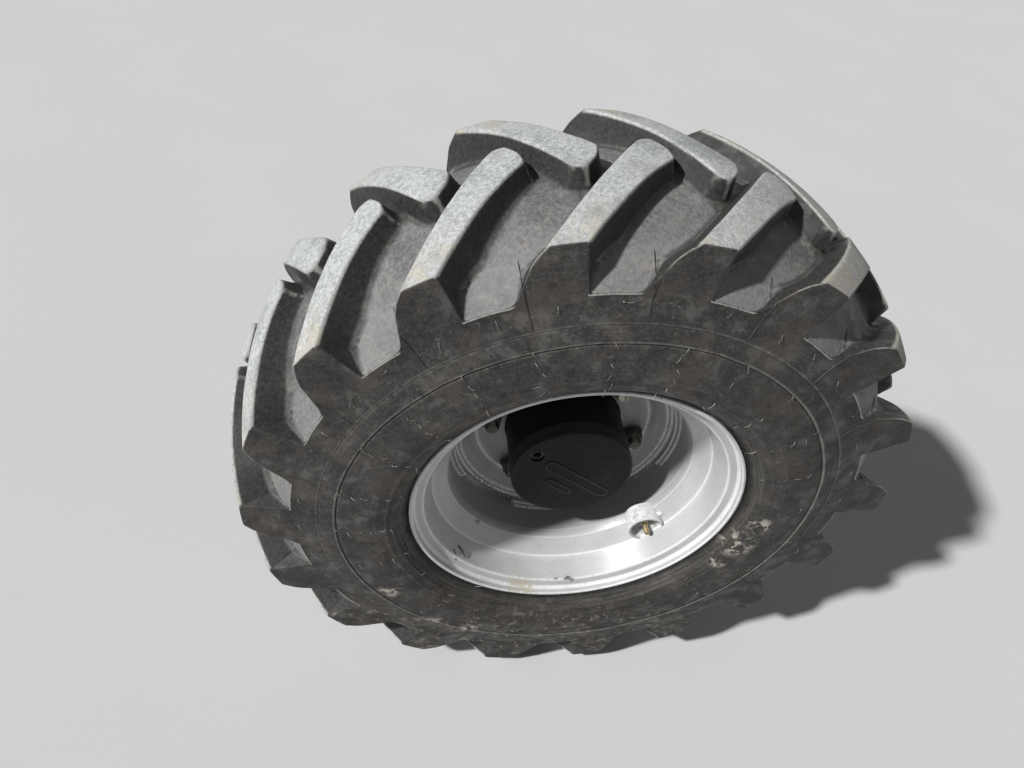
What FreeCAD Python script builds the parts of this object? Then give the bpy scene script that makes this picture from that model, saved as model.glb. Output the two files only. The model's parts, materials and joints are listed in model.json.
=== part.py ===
import FreeCAD, Part
import Sketcher
import math
import os
import re

# Wheel end of a site dumper: lugged tyre, welded steel wheel, final-drive hub and axle arm.
# Millimetres, +Z up, +X forward. The wheel axis is the Y axis and the outboard side faces -Y.
# The origin is the centre of the arm's bolting face, where the arm leaves the machine.

doc = FreeCAD.newDocument("wheel_end")

# Driving sizes. Columns: alias, value, meaning.
SIZES = [
    ("wheel_offset", 298, "arm bolting face to tyre centre plane"),
    ("tyre_radius", 431, "crown of the lugs from the axis"),
    ("shoulder_drop", 21, "lug shoulder corner below the crown"),
    ("shoulder_half_width", 121.5, "lug shoulder corner from the centre plane"),
    ("lug_depth", 29, "lug height over the valley at the centre plane"),
    ("lug_count", 18, "lugs on each side"),
    ("lug_draft", 13, "slope of the lug flanks, degrees"),
    ("lug_foot_share", 0.397, "where the lug ends run out, below the crown, of the tyre's section height"),
    ("lug_foot_half_width", 126.5, "lug end at its foot from the centre plane"),
    ("lug_sink", 30, "how far the lugs reach down past their foot"),
    ("lug_heel_x", -91.4, "leading flank, extended past the shoulder"),
    ("lug_heel_reach", 150, "how far the lug outline runs past the centre plane"),
    ("lug_bend_x", -17.8, "leading flank at its bend"),
    ("lug_bend_y", 58.4, "the same bend from the centre plane"),
    ("lug_neck_x", 27, "leading flank at the nose"),
    ("lug_neck_y", 19, "the same point from the centre plane"),
    ("nose_front_x", 29.3, "nose corner in front"),
    ("nose_front_y", 12.1, "nose corner past the centre plane"),
    ("nose_tip_x", 11.3, "nose tip"),
    ("nose_tip_y", 25.4, "nose tip past the centre plane"),
    ("nose_back_x", -9, "nose corner behind"),
    ("nose_back_y", 12.6, "the same corner past the centre plane"),
    ("lug_trail_x", -63.6, "trailing flank at its bend"),
    ("lug_trail_y", 62.5, "the same bend from the centre plane"),
    ("lug_toe_x", -128.9, "trailing flank, extended past the shoulder"),
    ("crown_half_width", 40, "flat of the lug tops, from the centre plane"),
    ("valley_half_width", 50, "flat of the valleys, from the centre plane"),
    ("pocket_lip_share", 0.36, "where valley floor meets sidewall, the same way"),
    ("pocket_lip_half_width", 124.5, "the same edge from the centre plane"),
    ("side_line_share", 0.511, "thin moulded line on the sidewall, the same way"),
    ("side_line_half_width", 132.6, "the same line from the centre plane"),
    ("ring_line_share", 0.607, "moulded ring on the sidewall, the same way"),
    ("ring_line_half_width", 139.5, "sidewall there from the centre plane"),
    ("bulge_share", 0.8075, "sidewall at its widest, the same way"),
    ("bulge_half_width", 145, "the same place from the centre plane"),
    ("bead_half_width", 119, "sidewall where it meets the rim lip"),
    ("crown_wall", 15, "tyre wall under the valleys"),
    ("side_wall", 9, "tyre wall at the side"),
    ("rim_half_width", 122.2, "rim lips from the centre plane"),
    ("rim_lip_radius", 211.8, "rim lips from the axis"),
    ("rim_wall", 5, "barrel sheet"),
    ("bend_shift", 2, "outside of a bend of the barrel past its inside"),
    ("lip_depth", 10.5, "width of the rim lip"),
    ("seat_outer_radius", 193.2, "inside of the barrel at the lip's foot"),
    ("seat_outer_depth", 13.9, "that ring behind the lip"),
    ("seat_inner_radius", 184.5, "inside of the barrel where the slope starts"),
    ("seat_inner_depth", 39.3, "that ring behind the lip"),
    ("well_edge_radius", 162.4, "inside of the barrel at the well's edge"),
    ("well_edge_depth", 61.7, "that ring behind the lip"),
    ("well_radius", 158, "inside of the well"),
    ("well_depth", 76, "start of the well behind the lip"),
    ("bead_clearance", 0.3, "tyre bead to rim"),
    ("disc_face", 20, "outboard face of the disc behind the centre plane"),
    ("disc_wall", 8, "disc plate"),
    ("disc_flat_radius", 120, "flat part of the disc round the studs"),
    ("disc_step_radius", 142, "outer end of the disc's slope"),
    ("disc_step", 16, "disc's outer ring in front of its flat part"),
    ("land_length", 12, "turned edge of the disc in front of its outer ring"),
    ("chord_distance", 149.6, "straight cut-outs of the disc from the axis"),
    ("chord_count", 4, "straight cut-outs"),
    ("chord_angle", 51, "first cut-out from forward, degrees"),
    ("chord_half_angle", 18.8, "half of the gap between the turned edges, degrees"),
    ("weld_clearance", 0.2, "disc edge to barrel"),
    ("stud_circle_radius", 102.5, "wheel studs from the axis"),
    ("stud_count", 6, "wheel studs"),
    ("stud_angle", 52.3, "first stud from forward, degrees"),
    ("stud_radius", 9, "wheel stud"),
    ("stud_hole_clearance", 1, "stud hole over the stud"),
    ("stud_end", 26, "stud's end in front of the disc face"),
    ("stud_root", 10, "stud set in the hub flange"),
    ("nut_flats", 24, "wheel nut across flats"),
    ("nut_height", 16, "wheel nut"),
    ("hub_radius", 80, "final-drive housing"),
    ("bore_clearance", 0.6, "disc bore over the housing"),
    ("cover_face", 67.6, "hub cover in front of the centre plane"),
    ("cover_wall", 12, "hub cover"),
    ("hub_flange_radius", 124, "hub flange behind the disc"),
    ("hub_flange_wall", 18, "hub flange"),
    ("drum_radius", 112, "hub drum behind the flange"),
    ("drum_back_radius", 94, "hub drum at its inboard face"),
    ("hub_back", 110, "hub's inboard face behind the centre plane"),
    ("spindle_radius", 45, "spindle in the hub"),
    ("spindle_reach", 58, "spindle in the hub"),
    ("running_gap", 0.05, "radial clearance of the running fits"),
    ("end_gap", 5, "between turning and fixed faces"),
    ("arm_collar_radius", 88, "collar at the arm's outboard end"),
    ("arm_collar_wall", 16, "that collar"),
    ("arm_tip_radius", 56, "arm tube behind the collar"),
    ("arm_root_radius", 70, "arm tube at the flange"),
    ("arm_flange_radius", 108, "arm flange"),
    ("arm_flange_wall", 20, "arm flange"),
    ("arm_bolt_circle_radius", 90, "arm flange bolt holes from the axis"),
    ("arm_bolt_count", 8, "arm flange bolt holes"),
    ("arm_bolt_radius", 7, "arm flange bolt holes"),
    ("arm_rib_wall", 12, "ribs between arm tube and flange"),
    ("arm_rib_length", 70, "ribs along the arm"),
    ("arm_rib_count", 4, "ribs round the arm"),
    ("arm_bore_radius", 24, "bore along the arm"),
    ("seal_radius", 32, "seat of the shaft seal in the flange"),
    ("seal_wall", 12, "shaft seal"),
    ("bush_wall", 20, "shaft bush at the spindle's end"),
    ("shaft_radius", 16, "half shaft"),
    ("shaft_reach", 60, "half shaft past the flange face"),
    ("spline_count", 16, "splines on the half shaft"),
    ("spline_depth", 2.2, "splines on the half shaft"),
    ("spindle_seal_radius", 60, "spindle seal between hub and collar"),
    ("seal_gap", 0.3, "spindle seal to the turning hub"),
    ("plug_radius", 9, "filler plug"),
    ("plug_circle_radius", 62, "filler plug from the axis"),
    ("plug_angle", 146, "filler plug from forward, degrees"),
    ("plug_sink", 3, "filler plug below the cover face"),
    ("plug_socket", 5, "corners of the plug's hexagon socket from its middle"),
    ("pad_length", 92, "blank raised pad on the cover"),
    ("pad_width", 17, "the same pad"),
    ("pad_height", 1.5, "the same pad"),
    ("pad_angle", -35, "the same pad from forward, degrees"),
    ("valve_angle", 319, "valve from forward, degrees"),
    ("valve_circle_radius", 169, "valve from the axis"),
    ("guard_radius", 25, "valve guard tube"),
    ("guard_wall", 3.5, "valve guard tube"),
    ("guard_front", 44, "guard's mouth behind the rim lip"),
    ("guard_length", 26, "valve guard tube"),
    ("stem_radius", 4, "valve stem"),
    ("stem_front", 32, "valve's end behind the rim lip"),
    ("stem_foot_radius", 8, "rubber foot of the valve"),
    ("stem_foot_front", 10, "that foot's end behind the guard's mouth"),
    ("stem_foot_length", 14, "that foot"),
]

sheet = doc.addObject("Spreadsheet::Sheet", "dims")
ALIASES = [alias for alias, value, meaning in SIZES]
for row, (alias, value, meaning) in enumerate(SIZES, start=1):
    sheet.set("A%d" % row, meaning)
    sheet.set("B%d" % row, str(value))
    sheet.setAlias("B%d" % row, alias)
doc.recompute()

WORD = re.compile(r"\b(%s)\b" % "|".join(sorted(ALIASES, key=len, reverse=True)))


def formula(text):
    """Put the sheet's name before each size in a formula."""
    return WORD.sub(r"dims.\1", text)


def number(text):
    """Value of a formula of sizes."""
    value = sheet.evalExpression(formula(text))
    return float(getattr(value, "Value", value))


def bind(thing, prop, text):
    """Set a property from a formula and keep it tied to the sheet."""
    thing.setExpression(prop, formula(text))


def new_body(label):
    """Empty body for one piece."""
    body = doc.addObject("PartDesign::Body", label)
    body.Label = label
    return body


def plane(body, role):
    """Origin plane or axis of a body."""
    for feature in body.Origin.OriginFeatures:
        if feature.Role == role:
            return feature
    raise ValueError(role)


def new_sketch(body, name, role):
    """Sketch on one of a body's origin planes."""
    sketch = body.newObject("Sketcher::SketchObject", name)
    sketch.AttachmentSupport = (plane(body, role), [""])
    sketch.MapMode = "FlatFace"
    return sketch


def outline(sketch, corners):
    """Closed outline. Each corner is (x formula, y formula) and, where the edge to the next
    corner is an arc, its radius formula and +1 or -1 for the side on which it bulges."""
    count = len(corners)
    places = [FreeCAD.Vector(number(c[0]), number(c[1]), 0) for c in corners]
    for index, corner in enumerate(corners):
        start = places[index]
        end = places[(index + 1) % count]
        if len(corner) == 2:
            sketch.addGeometry(Part.LineSegment(start, end), False)
        else:
            sketch.addGeometry(arc_between(start, end, number(corner[2]), corner[3]), False)
    for index, corner in enumerate(corners):
        following = (index + 1) % count
        here = start_point(corner)
        there = start_point(corners[following])
        sketch.addConstraint(
            Sketcher.Constraint("Coincident", index, end_point(corner), following, there))
        for kind, value in (("DistanceX", corner[0]), ("DistanceY", corner[1])):
            place = sketch.addConstraint(
                Sketcher.Constraint(kind, -1, 1, index, here, number(value)))
            bind(sketch, "Constraints[%d]" % place, value)
        if len(corner) > 2:
            place = sketch.addConstraint(Sketcher.Constraint("Radius", index, number(corner[2])))
            bind(sketch, "Constraints[%d]" % place, corner[2])


def start_point(corner):
    """Sketch number of the end at which an edge starts: an arc runs counter-clockwise."""
    return 2 if len(corner) > 2 and corner[3] < 0 else 1


def end_point(corner):
    """Sketch number of the end at which an edge stops."""
    return 3 - start_point(corner)


def arc_between(start, end, radius, side):
    """Arc of a given radius that turns left (side +1) or right (side -1)."""
    chord = end.sub(start)
    middle = start.add(chord * 0.5)
    rise = math.sqrt(max(radius ** 2 - (chord.Length / 2) ** 2, 0))
    left = FreeCAD.Vector(-chord.y, chord.x, 0).normalize()
    centre = middle.add(left * (rise * side))
    first, last = (start, end) if side > 0 else (end, start)
    begin = math.atan2(first.y - centre.y, first.x - centre.x)
    finish = math.atan2(last.y - centre.y, last.x - centre.x)
    circle = Part.Circle(centre, FreeCAD.Vector(0, 0, 1), radius)
    return Part.ArcOfCircle(circle, begin, finish)


def revolve(body, name, corners, cut=False):
    """Turn an outline of (place along Y, radius) about the wheel axis."""
    sketch = new_sketch(body, name + "_outline", "YZ_Plane")
    outline(sketch, corners)
    feature = body.newObject("PartDesign::Groove" if cut else "PartDesign::Revolution", name)
    feature.Profile = sketch
    feature.ReferenceAxis = (sketch, ["H_Axis"])
    feature.Angle = 360
    body.Tip = feature
    return feature


def pattern(body, name, source, count):
    """Repeat a feature evenly round the wheel axis."""
    ring = body.newObject("PartDesign::PolarPattern", name)
    ring.Originals = [source]
    ring.Axis = (plane(body, "Y_Axis"), [""])
    ring.Angle = 360
    bind(ring, "Occurrences", count)
    body.Tip = ring
    return ring


def circle_at(sketch, across, up, radius):
    """Round outline. The sketch lies in the XZ plane, so its y is the height."""
    centre = FreeCAD.Vector(number(across), number(up), 0)
    index = sketch.addGeometry(
        Part.Circle(centre, FreeCAD.Vector(0, 0, 1), number(radius)), False)
    rows = [
        (Sketcher.Constraint("DistanceX", -1, 1, index, 3, centre.x), across),
        (Sketcher.Constraint("DistanceY", -1, 1, index, 3, centre.y), up),
        (Sketcher.Constraint("Radius", index, number(radius)), radius),
    ]
    for constraint, value in rows:
        place = sketch.addConstraint(constraint)
        bind(sketch, "Constraints[%d]" % place, value)


def cylinder(name, radius, length, along, across="0", up="0"):
    """Round bar that runs inboard from a place along the wheel axis."""
    bar = doc.addObject("Part::Cylinder", name)
    bind(bar, "Radius", radius)
    bind(bar, "Height", length)
    bar.Placement.Rotation = FreeCAD.Rotation(FreeCAD.Vector(1, 0, 0), -90)
    for axis, value in (("x", across), ("y", along), ("z", up)):
        bind(bar, "Placement.Base." + axis, value)
    return bar


def cut(name, base, tool):
    """First shape less the second."""
    result = doc.addObject("Part::Cut", name)
    result.Base = base
    result.Tool = tool
    return result


def fuse(name, shapes):
    """One solid from touching shapes, or one set of separate ones."""
    result = doc.addObject("Part::MultiFuse", name)
    result.Shapes = shapes
    return result


# Places along the wheel axis.
CENTRE = "(-wheel_offset)"
LIP_PLANE = "(-wheel_offset - rim_half_width)"
DISC_PLANE = "(-wheel_offset + disc_face)"
DISC_BACK = "(-wheel_offset + disc_face + disc_wall)"
HUB_BACK = "(-wheel_offset + hub_back)"
COVER_PLANE = "(-wheel_offset - cover_face)"
COLLAR_PLANE = "(-wheel_offset + hub_back + end_gap)"
SPINDLE_END = "(-wheel_offset + hub_back - spindle_reach)"
SIDE_NAME = {1: "near", -1: "far"}


def below_crown(share):
    """Radius at a share of the tyre's section height below the crown."""
    return "(tyre_radius - %s * (tyre_radius - rim_lip_radius))" % share


def ring_outline(rows):
    """Closed outline that is the same on each side of the centre plane, from its outboard half.
    Columns: distance from the centre plane, radius."""
    near = [("%s - (%s)" % (CENTRE, away), radius) for away, radius in rows]
    far = [("%s + (%s)" % (CENTRE, away), radius) for away, radius in rows]
    return near + far[::-1]


def build_tyre():
    """Carcass turned as one ring, lugs patterned on it, then the crown and the inside cut."""
    body = new_body("tyre")
    bead_radius = "rim_lip_radius + bead_clearance"
    ring_line_radius = below_crown("ring_line_share")
    toe = "rim_half_width - seat_inner_depth - bend_shift"
    toe_radius = "seat_inner_radius + rim_wall + bead_clearance"
    revolve(body, "carcass", ring_outline([
        ("valley_half_width", "tyre_radius - lug_depth"),
        ("pocket_lip_half_width", below_crown("pocket_lip_share")),
        ("ring_line_half_width", ring_line_radius),
        ("bulge_half_width", below_crown("bulge_share")),
        ("bead_half_width", bead_radius),
        ("rim_half_width - lip_depth - rim_wall - bead_clearance", bead_radius),
        (toe, toe_radius),
    ]))
    for side, shift in ((1, "0"), (-1, "180 / lug_count")):
        pattern(body, "lug_ring_%s" % SIDE_NAME[side], add_lug(body, side, shift), "lug_count")
    clear_of_lugs = "lug_heel_reach + lug_depth"
    revolve(body, "crown", ring_outline([
        ("crown_half_width", "tyre_radius"),
        ("shoulder_half_width", "tyre_radius - shoulder_drop"),
        ("lug_foot_half_width", below_crown("lug_foot_share")),
        ("side_line_half_width", below_crown("side_line_share")),
        ("ring_line_half_width + bead_clearance", ring_line_radius),
        (clear_of_lugs, ring_line_radius),
        (clear_of_lugs, "tyre_radius + lug_depth"),
    ]), cut=True)
    revolve(body, "hollow", ring_outline([
        ("valley_half_width + crown_wall", "tyre_radius - lug_depth - crown_wall"),
        ("ring_line_half_width - side_wall", ring_line_radius),
        (toe + " + bead_clearance", toe_radius + " + side_wall"),
        (toe + " + bead_clearance", "well_radius"),
    ]), cut=True)
    return body


def add_lug(body, side, shift):
    """One bent lug, drawn flat over the crown and padded down with sloping flanks."""
    sketch = new_sketch(body, "lug_outline_%s" % SIDE_NAME[side], "XY_Plane")
    sketch.AttachmentOffset = FreeCAD.Placement(
        FreeCAD.Vector(0, 0, 0), FreeCAD.Rotation(FreeCAD.Vector(0, 1, 0), 1))
    bind(sketch, "AttachmentOffset.Rotation.Angle", "-(%s)" % shift)
    bind(sketch, "AttachmentOffset.Base.x", "-tyre_radius * sin(%s)" % shift)
    bind(sketch, "AttachmentOffset.Base.z", "tyre_radius * cos(%s)" % shift)
    outwards = "-" if side > 0 else "+"
    past = "+" if side > 0 else "-"
    corners = [
        ("lug_heel_x", outwards, "lug_heel_reach"),
        ("lug_bend_x", outwards, "lug_bend_y"),
        ("lug_neck_x", outwards, "lug_neck_y"),
        ("nose_front_x", past, "nose_front_y"),
        ("nose_tip_x", past, "nose_tip_y"),
        ("nose_back_x", past, "nose_back_y"),
        ("lug_trail_x", outwards, "lug_trail_y"),
        ("lug_toe_x", outwards, "lug_heel_reach"),
    ]
    if side < 0:
        corners.reverse()
    outline(sketch, [(across, "%s %s %s" % (CENTRE, sign, along)) for across, sign, along in corners])
    pad = body.newObject("PartDesign::Pad", "lug_%s" % SIDE_NAME[side])
    pad.Profile = sketch
    bind(pad, "Length", "tyre_radius - %s + lug_sink" % below_crown("lug_foot_share"))
    pad.Reversed = True
    bind(pad, "TaperAngle", "lug_draft")
    body.Tip = pad
    return pad


BARREL_ROWS = [
    ("rim_half_width", "rim_lip_radius - rim_wall"),
    ("rim_half_width - lip_depth", "rim_lip_radius - rim_wall"),
    ("rim_half_width - seat_outer_depth", "seat_outer_radius"),
    ("rim_half_width - seat_inner_depth", "seat_inner_radius"),
    ("rim_half_width - well_edge_depth", "well_edge_radius"),
    ("rim_half_width - well_depth", "well_radius"),
]


def build_barrel():
    """Drop-centre barrel rolled from one sheet, with the valve hole in its outboard slope."""
    body = new_body("rim_barrel")
    tyre_side = [
        ("rim_half_width", "rim_lip_radius"),
        ("rim_half_width - lip_depth - rim_wall", "rim_lip_radius"),
        ("rim_half_width - seat_outer_depth - rim_wall", "seat_outer_radius + rim_wall"),
        ("rim_half_width - seat_inner_depth - bend_shift", "seat_inner_radius + rim_wall"),
        ("rim_half_width - well_edge_depth - bend_shift", "well_edge_radius + rim_wall"),
        ("rim_half_width - well_depth", "well_radius + rim_wall"),
    ]
    revolve(body, "barrel", ring_outline(BARREL_ROWS) + ring_outline(tyre_side)[::-1])
    sketch = new_sketch(body, "valve_hole_outline", "XZ_Plane")
    bind(sketch, "AttachmentOffset.Base.z", "-(%s + guard_front)" % LIP_PLANE)
    circle_at(sketch, VALVE_X, VALVE_Z, "stem_foot_radius + weld_clearance")
    pocket(body, "valve_hole", sketch, "well_depth - guard_front")
    return body


def pocket(body, name, sketch, depth):
    """Cut that runs inboard from its sketch."""
    hole = body.newObject("PartDesign::Pocket", name)
    hole.Profile = sketch
    bind(hole, "Length", depth)
    body.Tip = hole
    return hole


def through(wall):
    """Depth of a cut that starts a wall in front of a wall and ends well behind it."""
    return "(%s) * 3" % wall


def build_disc():
    """Dished disc: flat round the studs, sloped out to a ring whose edge is turned outboard on lands
    between straight cuts."""
    body = new_body("rim_disc")
    edge = "(well_radius - weld_clearance)"
    ring_face = "(%s - disc_step)" % DISC_PLANE
    lip = "(%s - land_length)" % ring_face
    revolve(body, "dish", [
        (DISC_PLANE, "hub_radius + bore_clearance"),
        (DISC_PLANE, "disc_flat_radius"),
        (ring_face, "disc_step_radius"),
        (ring_face, edge + " - disc_wall"),
        (lip, edge + " - disc_wall"),
        (lip, edge),
        (ring_face + " + disc_wall", edge),
        (ring_face + " + disc_wall", "disc_step_radius + disc_wall / 3"),
        (DISC_BACK, "disc_flat_radius + disc_wall / 3"),
        (DISC_BACK, "hub_radius + bore_clearance"),
    ])
    chord = turned_sketch(body, "chord_outline", lip + " - disc_wall", "chord_angle")
    outline(chord, [
        ("chord_distance", "-well_radius / 2"),
        ("well_radius + disc_wall", "-well_radius / 2"),
        ("well_radius + disc_wall", "well_radius / 2"),
        ("chord_distance", "well_radius / 2"),
    ])
    cut_out = pocket(body, "chord", chord, "land_length + disc_step + " + through("disc_wall"))
    pattern(body, "chords", cut_out, "chord_count")
    gap = turned_sketch(body, "land_gap_outline", lip + " - disc_wall", "chord_angle")
    inner = "(%s - disc_wall)" % edge
    outer = "(well_radius + disc_wall)"
    outline(gap, [
        (inner + " * cos(chord_half_angle)", "-%s * sin(chord_half_angle)" % inner),
        (outer + " * cos(chord_half_angle)", "-%s * sin(chord_half_angle)" % outer, outer, 1),
        (outer + " * cos(chord_half_angle)", outer + " * sin(chord_half_angle)"),
        (inner + " * cos(chord_half_angle)", inner + " * sin(chord_half_angle)", inner, -1),
    ])
    land_gap = pocket(body, "land_gap", gap, "disc_wall + land_length")
    pattern(body, "land_gaps", land_gap, "chord_count")
    hole_sketch = turned_sketch(body, "stud_hole_outline", DISC_PLANE + " - disc_wall", "stud_angle")
    circle_at(hole_sketch, "stud_circle_radius", "0", "stud_radius + stud_hole_clearance")
    hole = pocket(body, "stud_hole", hole_sketch, through("disc_wall"))
    pattern(body, "stud_holes", hole, "stud_count")
    return body


def turned_sketch(body, name, along, angle):
    """Sketch across the wheel axis at a place along it, turned from forward by an angle."""
    sketch = new_sketch(body, name, "XZ_Plane")
    sketch.AttachmentOffset.Rotation = FreeCAD.Rotation(FreeCAD.Vector(0, 0, 1), 1)
    bind(sketch, "AttachmentOffset.Base.z", "-(%s)" % along)
    bind(sketch, "AttachmentOffset.Rotation.Angle", angle)
    return sketch


def ring_of(name, make, count_alias):
    """Like pieces round the wheel, as one set of separate solids."""
    pieces = []
    for index in range(int(number(count_alias))):
        turn = "(stud_angle + 360 / %s * %d)" % (count_alias, index)
        pieces.append(make("%s_%d" % (name, index + 1), turn))
    return fuse(name, pieces)


def make_stud(name, turn):
    """Wheel stud, from its root in the hub flange to its free end."""
    length = "stud_root + disc_wall + stud_end"
    return cylinder(name, "stud_radius", length, "%s - stud_end" % DISC_PLANE,
                    "stud_circle_radius * cos(%s)" % turn, "stud_circle_radius * sin(%s)" % turn)


def make_nut(name, turn):
    """Wheel nut on the disc face, bored over its stud."""
    across = "stud_circle_radius * cos(%s)" % turn
    up = "stud_circle_radius * sin(%s)" % turn
    hexagon = doc.addObject("Part::Prism", name + "_blank")
    hexagon.Polygon = 6
    bind(hexagon, "Circumradius", "nut_flats / sqrt(3)")
    bind(hexagon, "Height", "nut_height")
    hexagon.Placement.Rotation = FreeCAD.Rotation(FreeCAD.Vector(1, 0, 0), -90)
    for axis, value in (("x", across), ("y", "%s - nut_height" % DISC_PLANE), ("z", up)):
        bind(hexagon, "Placement.Base." + axis, value)
    bore = cylinder(name + "_bore", "stud_radius + weld_clearance", through("nut_height"),
                    "%s - nut_height * 2" % DISC_PLANE, across, up)
    return cut(name, hexagon, bore)


def build_hub_drum():
    """Turning hub: flange for the studs, drum behind it and the bore that runs on the spindle."""
    body = new_body("hub_drum")
    bottom = "(%s - end_gap)" % SPINDLE_END
    revolve(body, "drum", [
        (DISC_BACK, "0"),
        (DISC_BACK, "hub_flange_radius"),
        ("%s + hub_flange_wall" % DISC_BACK, "hub_flange_radius"),
        ("%s + hub_flange_wall" % DISC_BACK, "drum_radius"),
        ("%s - hub_flange_wall" % HUB_BACK, "drum_radius"),
        (HUB_BACK, "drum_back_radius"),
        (HUB_BACK, "spindle_radius + running_gap"),
        (bottom, "spindle_radius + running_gap"),
        (bottom, "0"),
    ])
    sketch = turned_sketch(body, "stud_seat_outline", DISC_BACK, "stud_angle")
    circle_at(sketch, "stud_circle_radius", "0", "stud_radius + weld_clearance")
    seat = pocket(body, "stud_seat", sketch, "stud_root + weld_clearance")
    pattern(body, "stud_seats", seat, "stud_count")
    return body


def build_planet_housing():
    """Round final-drive housing that stands through the wheel disc."""
    body = new_body("planet_housing")
    front = "(%s + cover_wall)" % COVER_PLANE
    revolve(body, "housing", [
        (front, "0"),
        (front, "hub_radius"),
        (DISC_BACK, "hub_radius"),
        (DISC_BACK, "0"),
    ])
    return body


def build_cover():
    """Hub cover with its filler hole and a plain raised pad."""
    body = new_body("hub_cover")
    chamfer = "cover_wall / 8"
    revolve(body, "cap", [
        (COVER_PLANE, "0"),
        (COVER_PLANE, "hub_radius - %s" % chamfer),
        ("%s + %s" % (COVER_PLANE, chamfer), "hub_radius"),
        ("%s + cover_wall" % COVER_PLANE, "hub_radius"),
        ("%s + cover_wall" % COVER_PLANE, "0"),
    ])
    pad_sketch = turned_sketch(body, "pad_outline", COVER_PLANE, "pad_angle")
    straight = "(pad_length - pad_width) / 2"
    round_end = "(pad_width / 2 + weld_clearance / 10)"
    outline(pad_sketch, [
        ("-" + straight, "-pad_width / 2"),
        (straight, "-pad_width / 2", round_end, 1),
        (straight, "pad_width / 2"),
        ("-" + straight, "pad_width / 2", round_end, 1),
    ])
    pad = body.newObject("PartDesign::Pad", "blank_pad")
    pad.Profile = pad_sketch
    bind(pad, "Length", "pad_height")
    body.Tip = pad
    hole_sketch = new_sketch(body, "plug_hole_outline", "XZ_Plane")
    bind(hole_sketch, "AttachmentOffset.Base.z", "-(%s)" % COVER_PLANE)
    circle_at(hole_sketch, PLUG_X, PLUG_Z, "plug_radius + weld_clearance")
    pocket(body, "plug_hole", hole_sketch, "cover_wall")
    return body


def build_plug():
    """Filler plug with a hexagon socket, sunk in the cover."""
    front = "%s + plug_sink" % COVER_PLANE
    blank = cylinder("plug_blank", "plug_radius", "cover_wall - plug_sink", front, PLUG_X, PLUG_Z)
    socket = doc.addObject("Part::Prism", "plug_socket")
    socket.Polygon = 6
    bind(socket, "Circumradius", "plug_socket")
    bind(socket, "Height", "cover_wall / 2")
    socket.Placement.Rotation = FreeCAD.Rotation(FreeCAD.Vector(1, 0, 0), -90)
    for axis, value in (("x", PLUG_X), ("y", front + " - cover_wall / 6"), ("z", PLUG_Z)):
        bind(socket, "Placement.Base." + axis, value)
    return cut("filler_plug", blank, socket)


def build_guard():
    """Valve guard: a short tube welded on the barrel's slope, open where it meets the barrel."""
    body = new_body("valve_guard")
    sketch = new_sketch(body, "guard_outline", "XZ_Plane")
    bind(sketch, "AttachmentOffset.Base.z", "-(%s + guard_front + guard_length)" % LIP_PLANE)
    circle_at(sketch, VALVE_X, VALVE_Z, "guard_radius")
    circle_at(sketch, VALVE_X, VALVE_Z, "guard_radius - guard_wall")
    pad = body.newObject("PartDesign::Pad", "guard_tube")
    pad.Profile = sketch
    bind(pad, "Length", "guard_length")
    body.Tip = pad
    rows = [("%s - (%s)" % (CENTRE, away), radius + " - weld_clearance") for away, radius in BARREL_ROWS[2:]]
    rows.append((CENTRE, "well_radius - weld_clearance"))
    rows.append((CENTRE, "rim_lip_radius"))
    rows.append((rows[0][0], "rim_lip_radius"))
    revolve(body, "guard_foot", rows, cut=True)
    return body


def build_stem():
    """Valve: rubber foot through the barrel and a thin stem with its cap."""
    foot = cylinder("valve_foot", "stem_foot_radius", "stem_foot_length",
                    "%s + guard_front + stem_foot_front" % LIP_PLANE, VALVE_X, VALVE_Z)
    stem_length = "guard_front + stem_foot_front + stem_foot_radius - stem_front"
    stem = cylinder("valve_tube", "stem_radius", stem_length, "%s + stem_front" % LIP_PLANE, VALVE_X, VALVE_Z)
    return fuse("valve_stem", [foot, stem])


def build_arm():
    """Cast arm: spindle, collar, tapered tube with ribs, and the flange that bolts on."""
    body = new_body("axle_arm")
    flange_front = "(-arm_flange_wall)"
    revolve(body, "arm_casting", [
        (SPINDLE_END, "arm_bore_radius"),
        (SPINDLE_END, "spindle_radius"),
        (COLLAR_PLANE, "spindle_radius"),
        (COLLAR_PLANE, "arm_collar_radius"),
        (COLLAR_PLANE + " + arm_collar_wall", "arm_collar_radius"),
        (COLLAR_PLANE + " + arm_collar_wall", "arm_tip_radius"),
        (flange_front, "arm_root_radius"),
        (flange_front, "arm_flange_radius"),
        ("0", "arm_flange_radius"),
        ("0", "seal_radius"),
        ("-seal_wall", "seal_radius"),
        ("-seal_wall", "arm_bore_radius"),
    ])
    rib_sketch = new_sketch(body, "rib_outline", "YZ_Plane")
    outline(rib_sketch, [
        (flange_front + " - arm_rib_length", "arm_tip_radius"),
        (flange_front + " + arm_flange_wall / 4", "arm_tip_radius"),
        (flange_front + " + arm_flange_wall / 4", "arm_flange_radius - arm_rib_wall / 2"),
        (flange_front, "arm_flange_radius - arm_rib_wall / 2"),
    ])
    rib = body.newObject("PartDesign::Pad", "rib")
    rib.Profile = rib_sketch
    rib.Midplane = True
    bind(rib, "Length", "arm_rib_wall")
    body.Tip = rib
    pattern(body, "ribs", rib, "arm_rib_count")
    hole_sketch = new_sketch(body, "bolt_hole_outline", "XZ_Plane")
    bind(hole_sketch, "AttachmentOffset.Base.z", "arm_flange_wall * 2")
    turn = "(180 / arm_bolt_count)"
    circle_at(hole_sketch, "arm_bolt_circle_radius * cos(%s)" % turn,
              "arm_bolt_circle_radius * sin(%s)" % turn, "arm_bolt_radius")
    hole = pocket(body, "bolt_hole", hole_sketch, through("arm_flange_wall"))
    pattern(body, "bolt_holes", hole, "arm_bolt_count")
    return body


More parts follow.
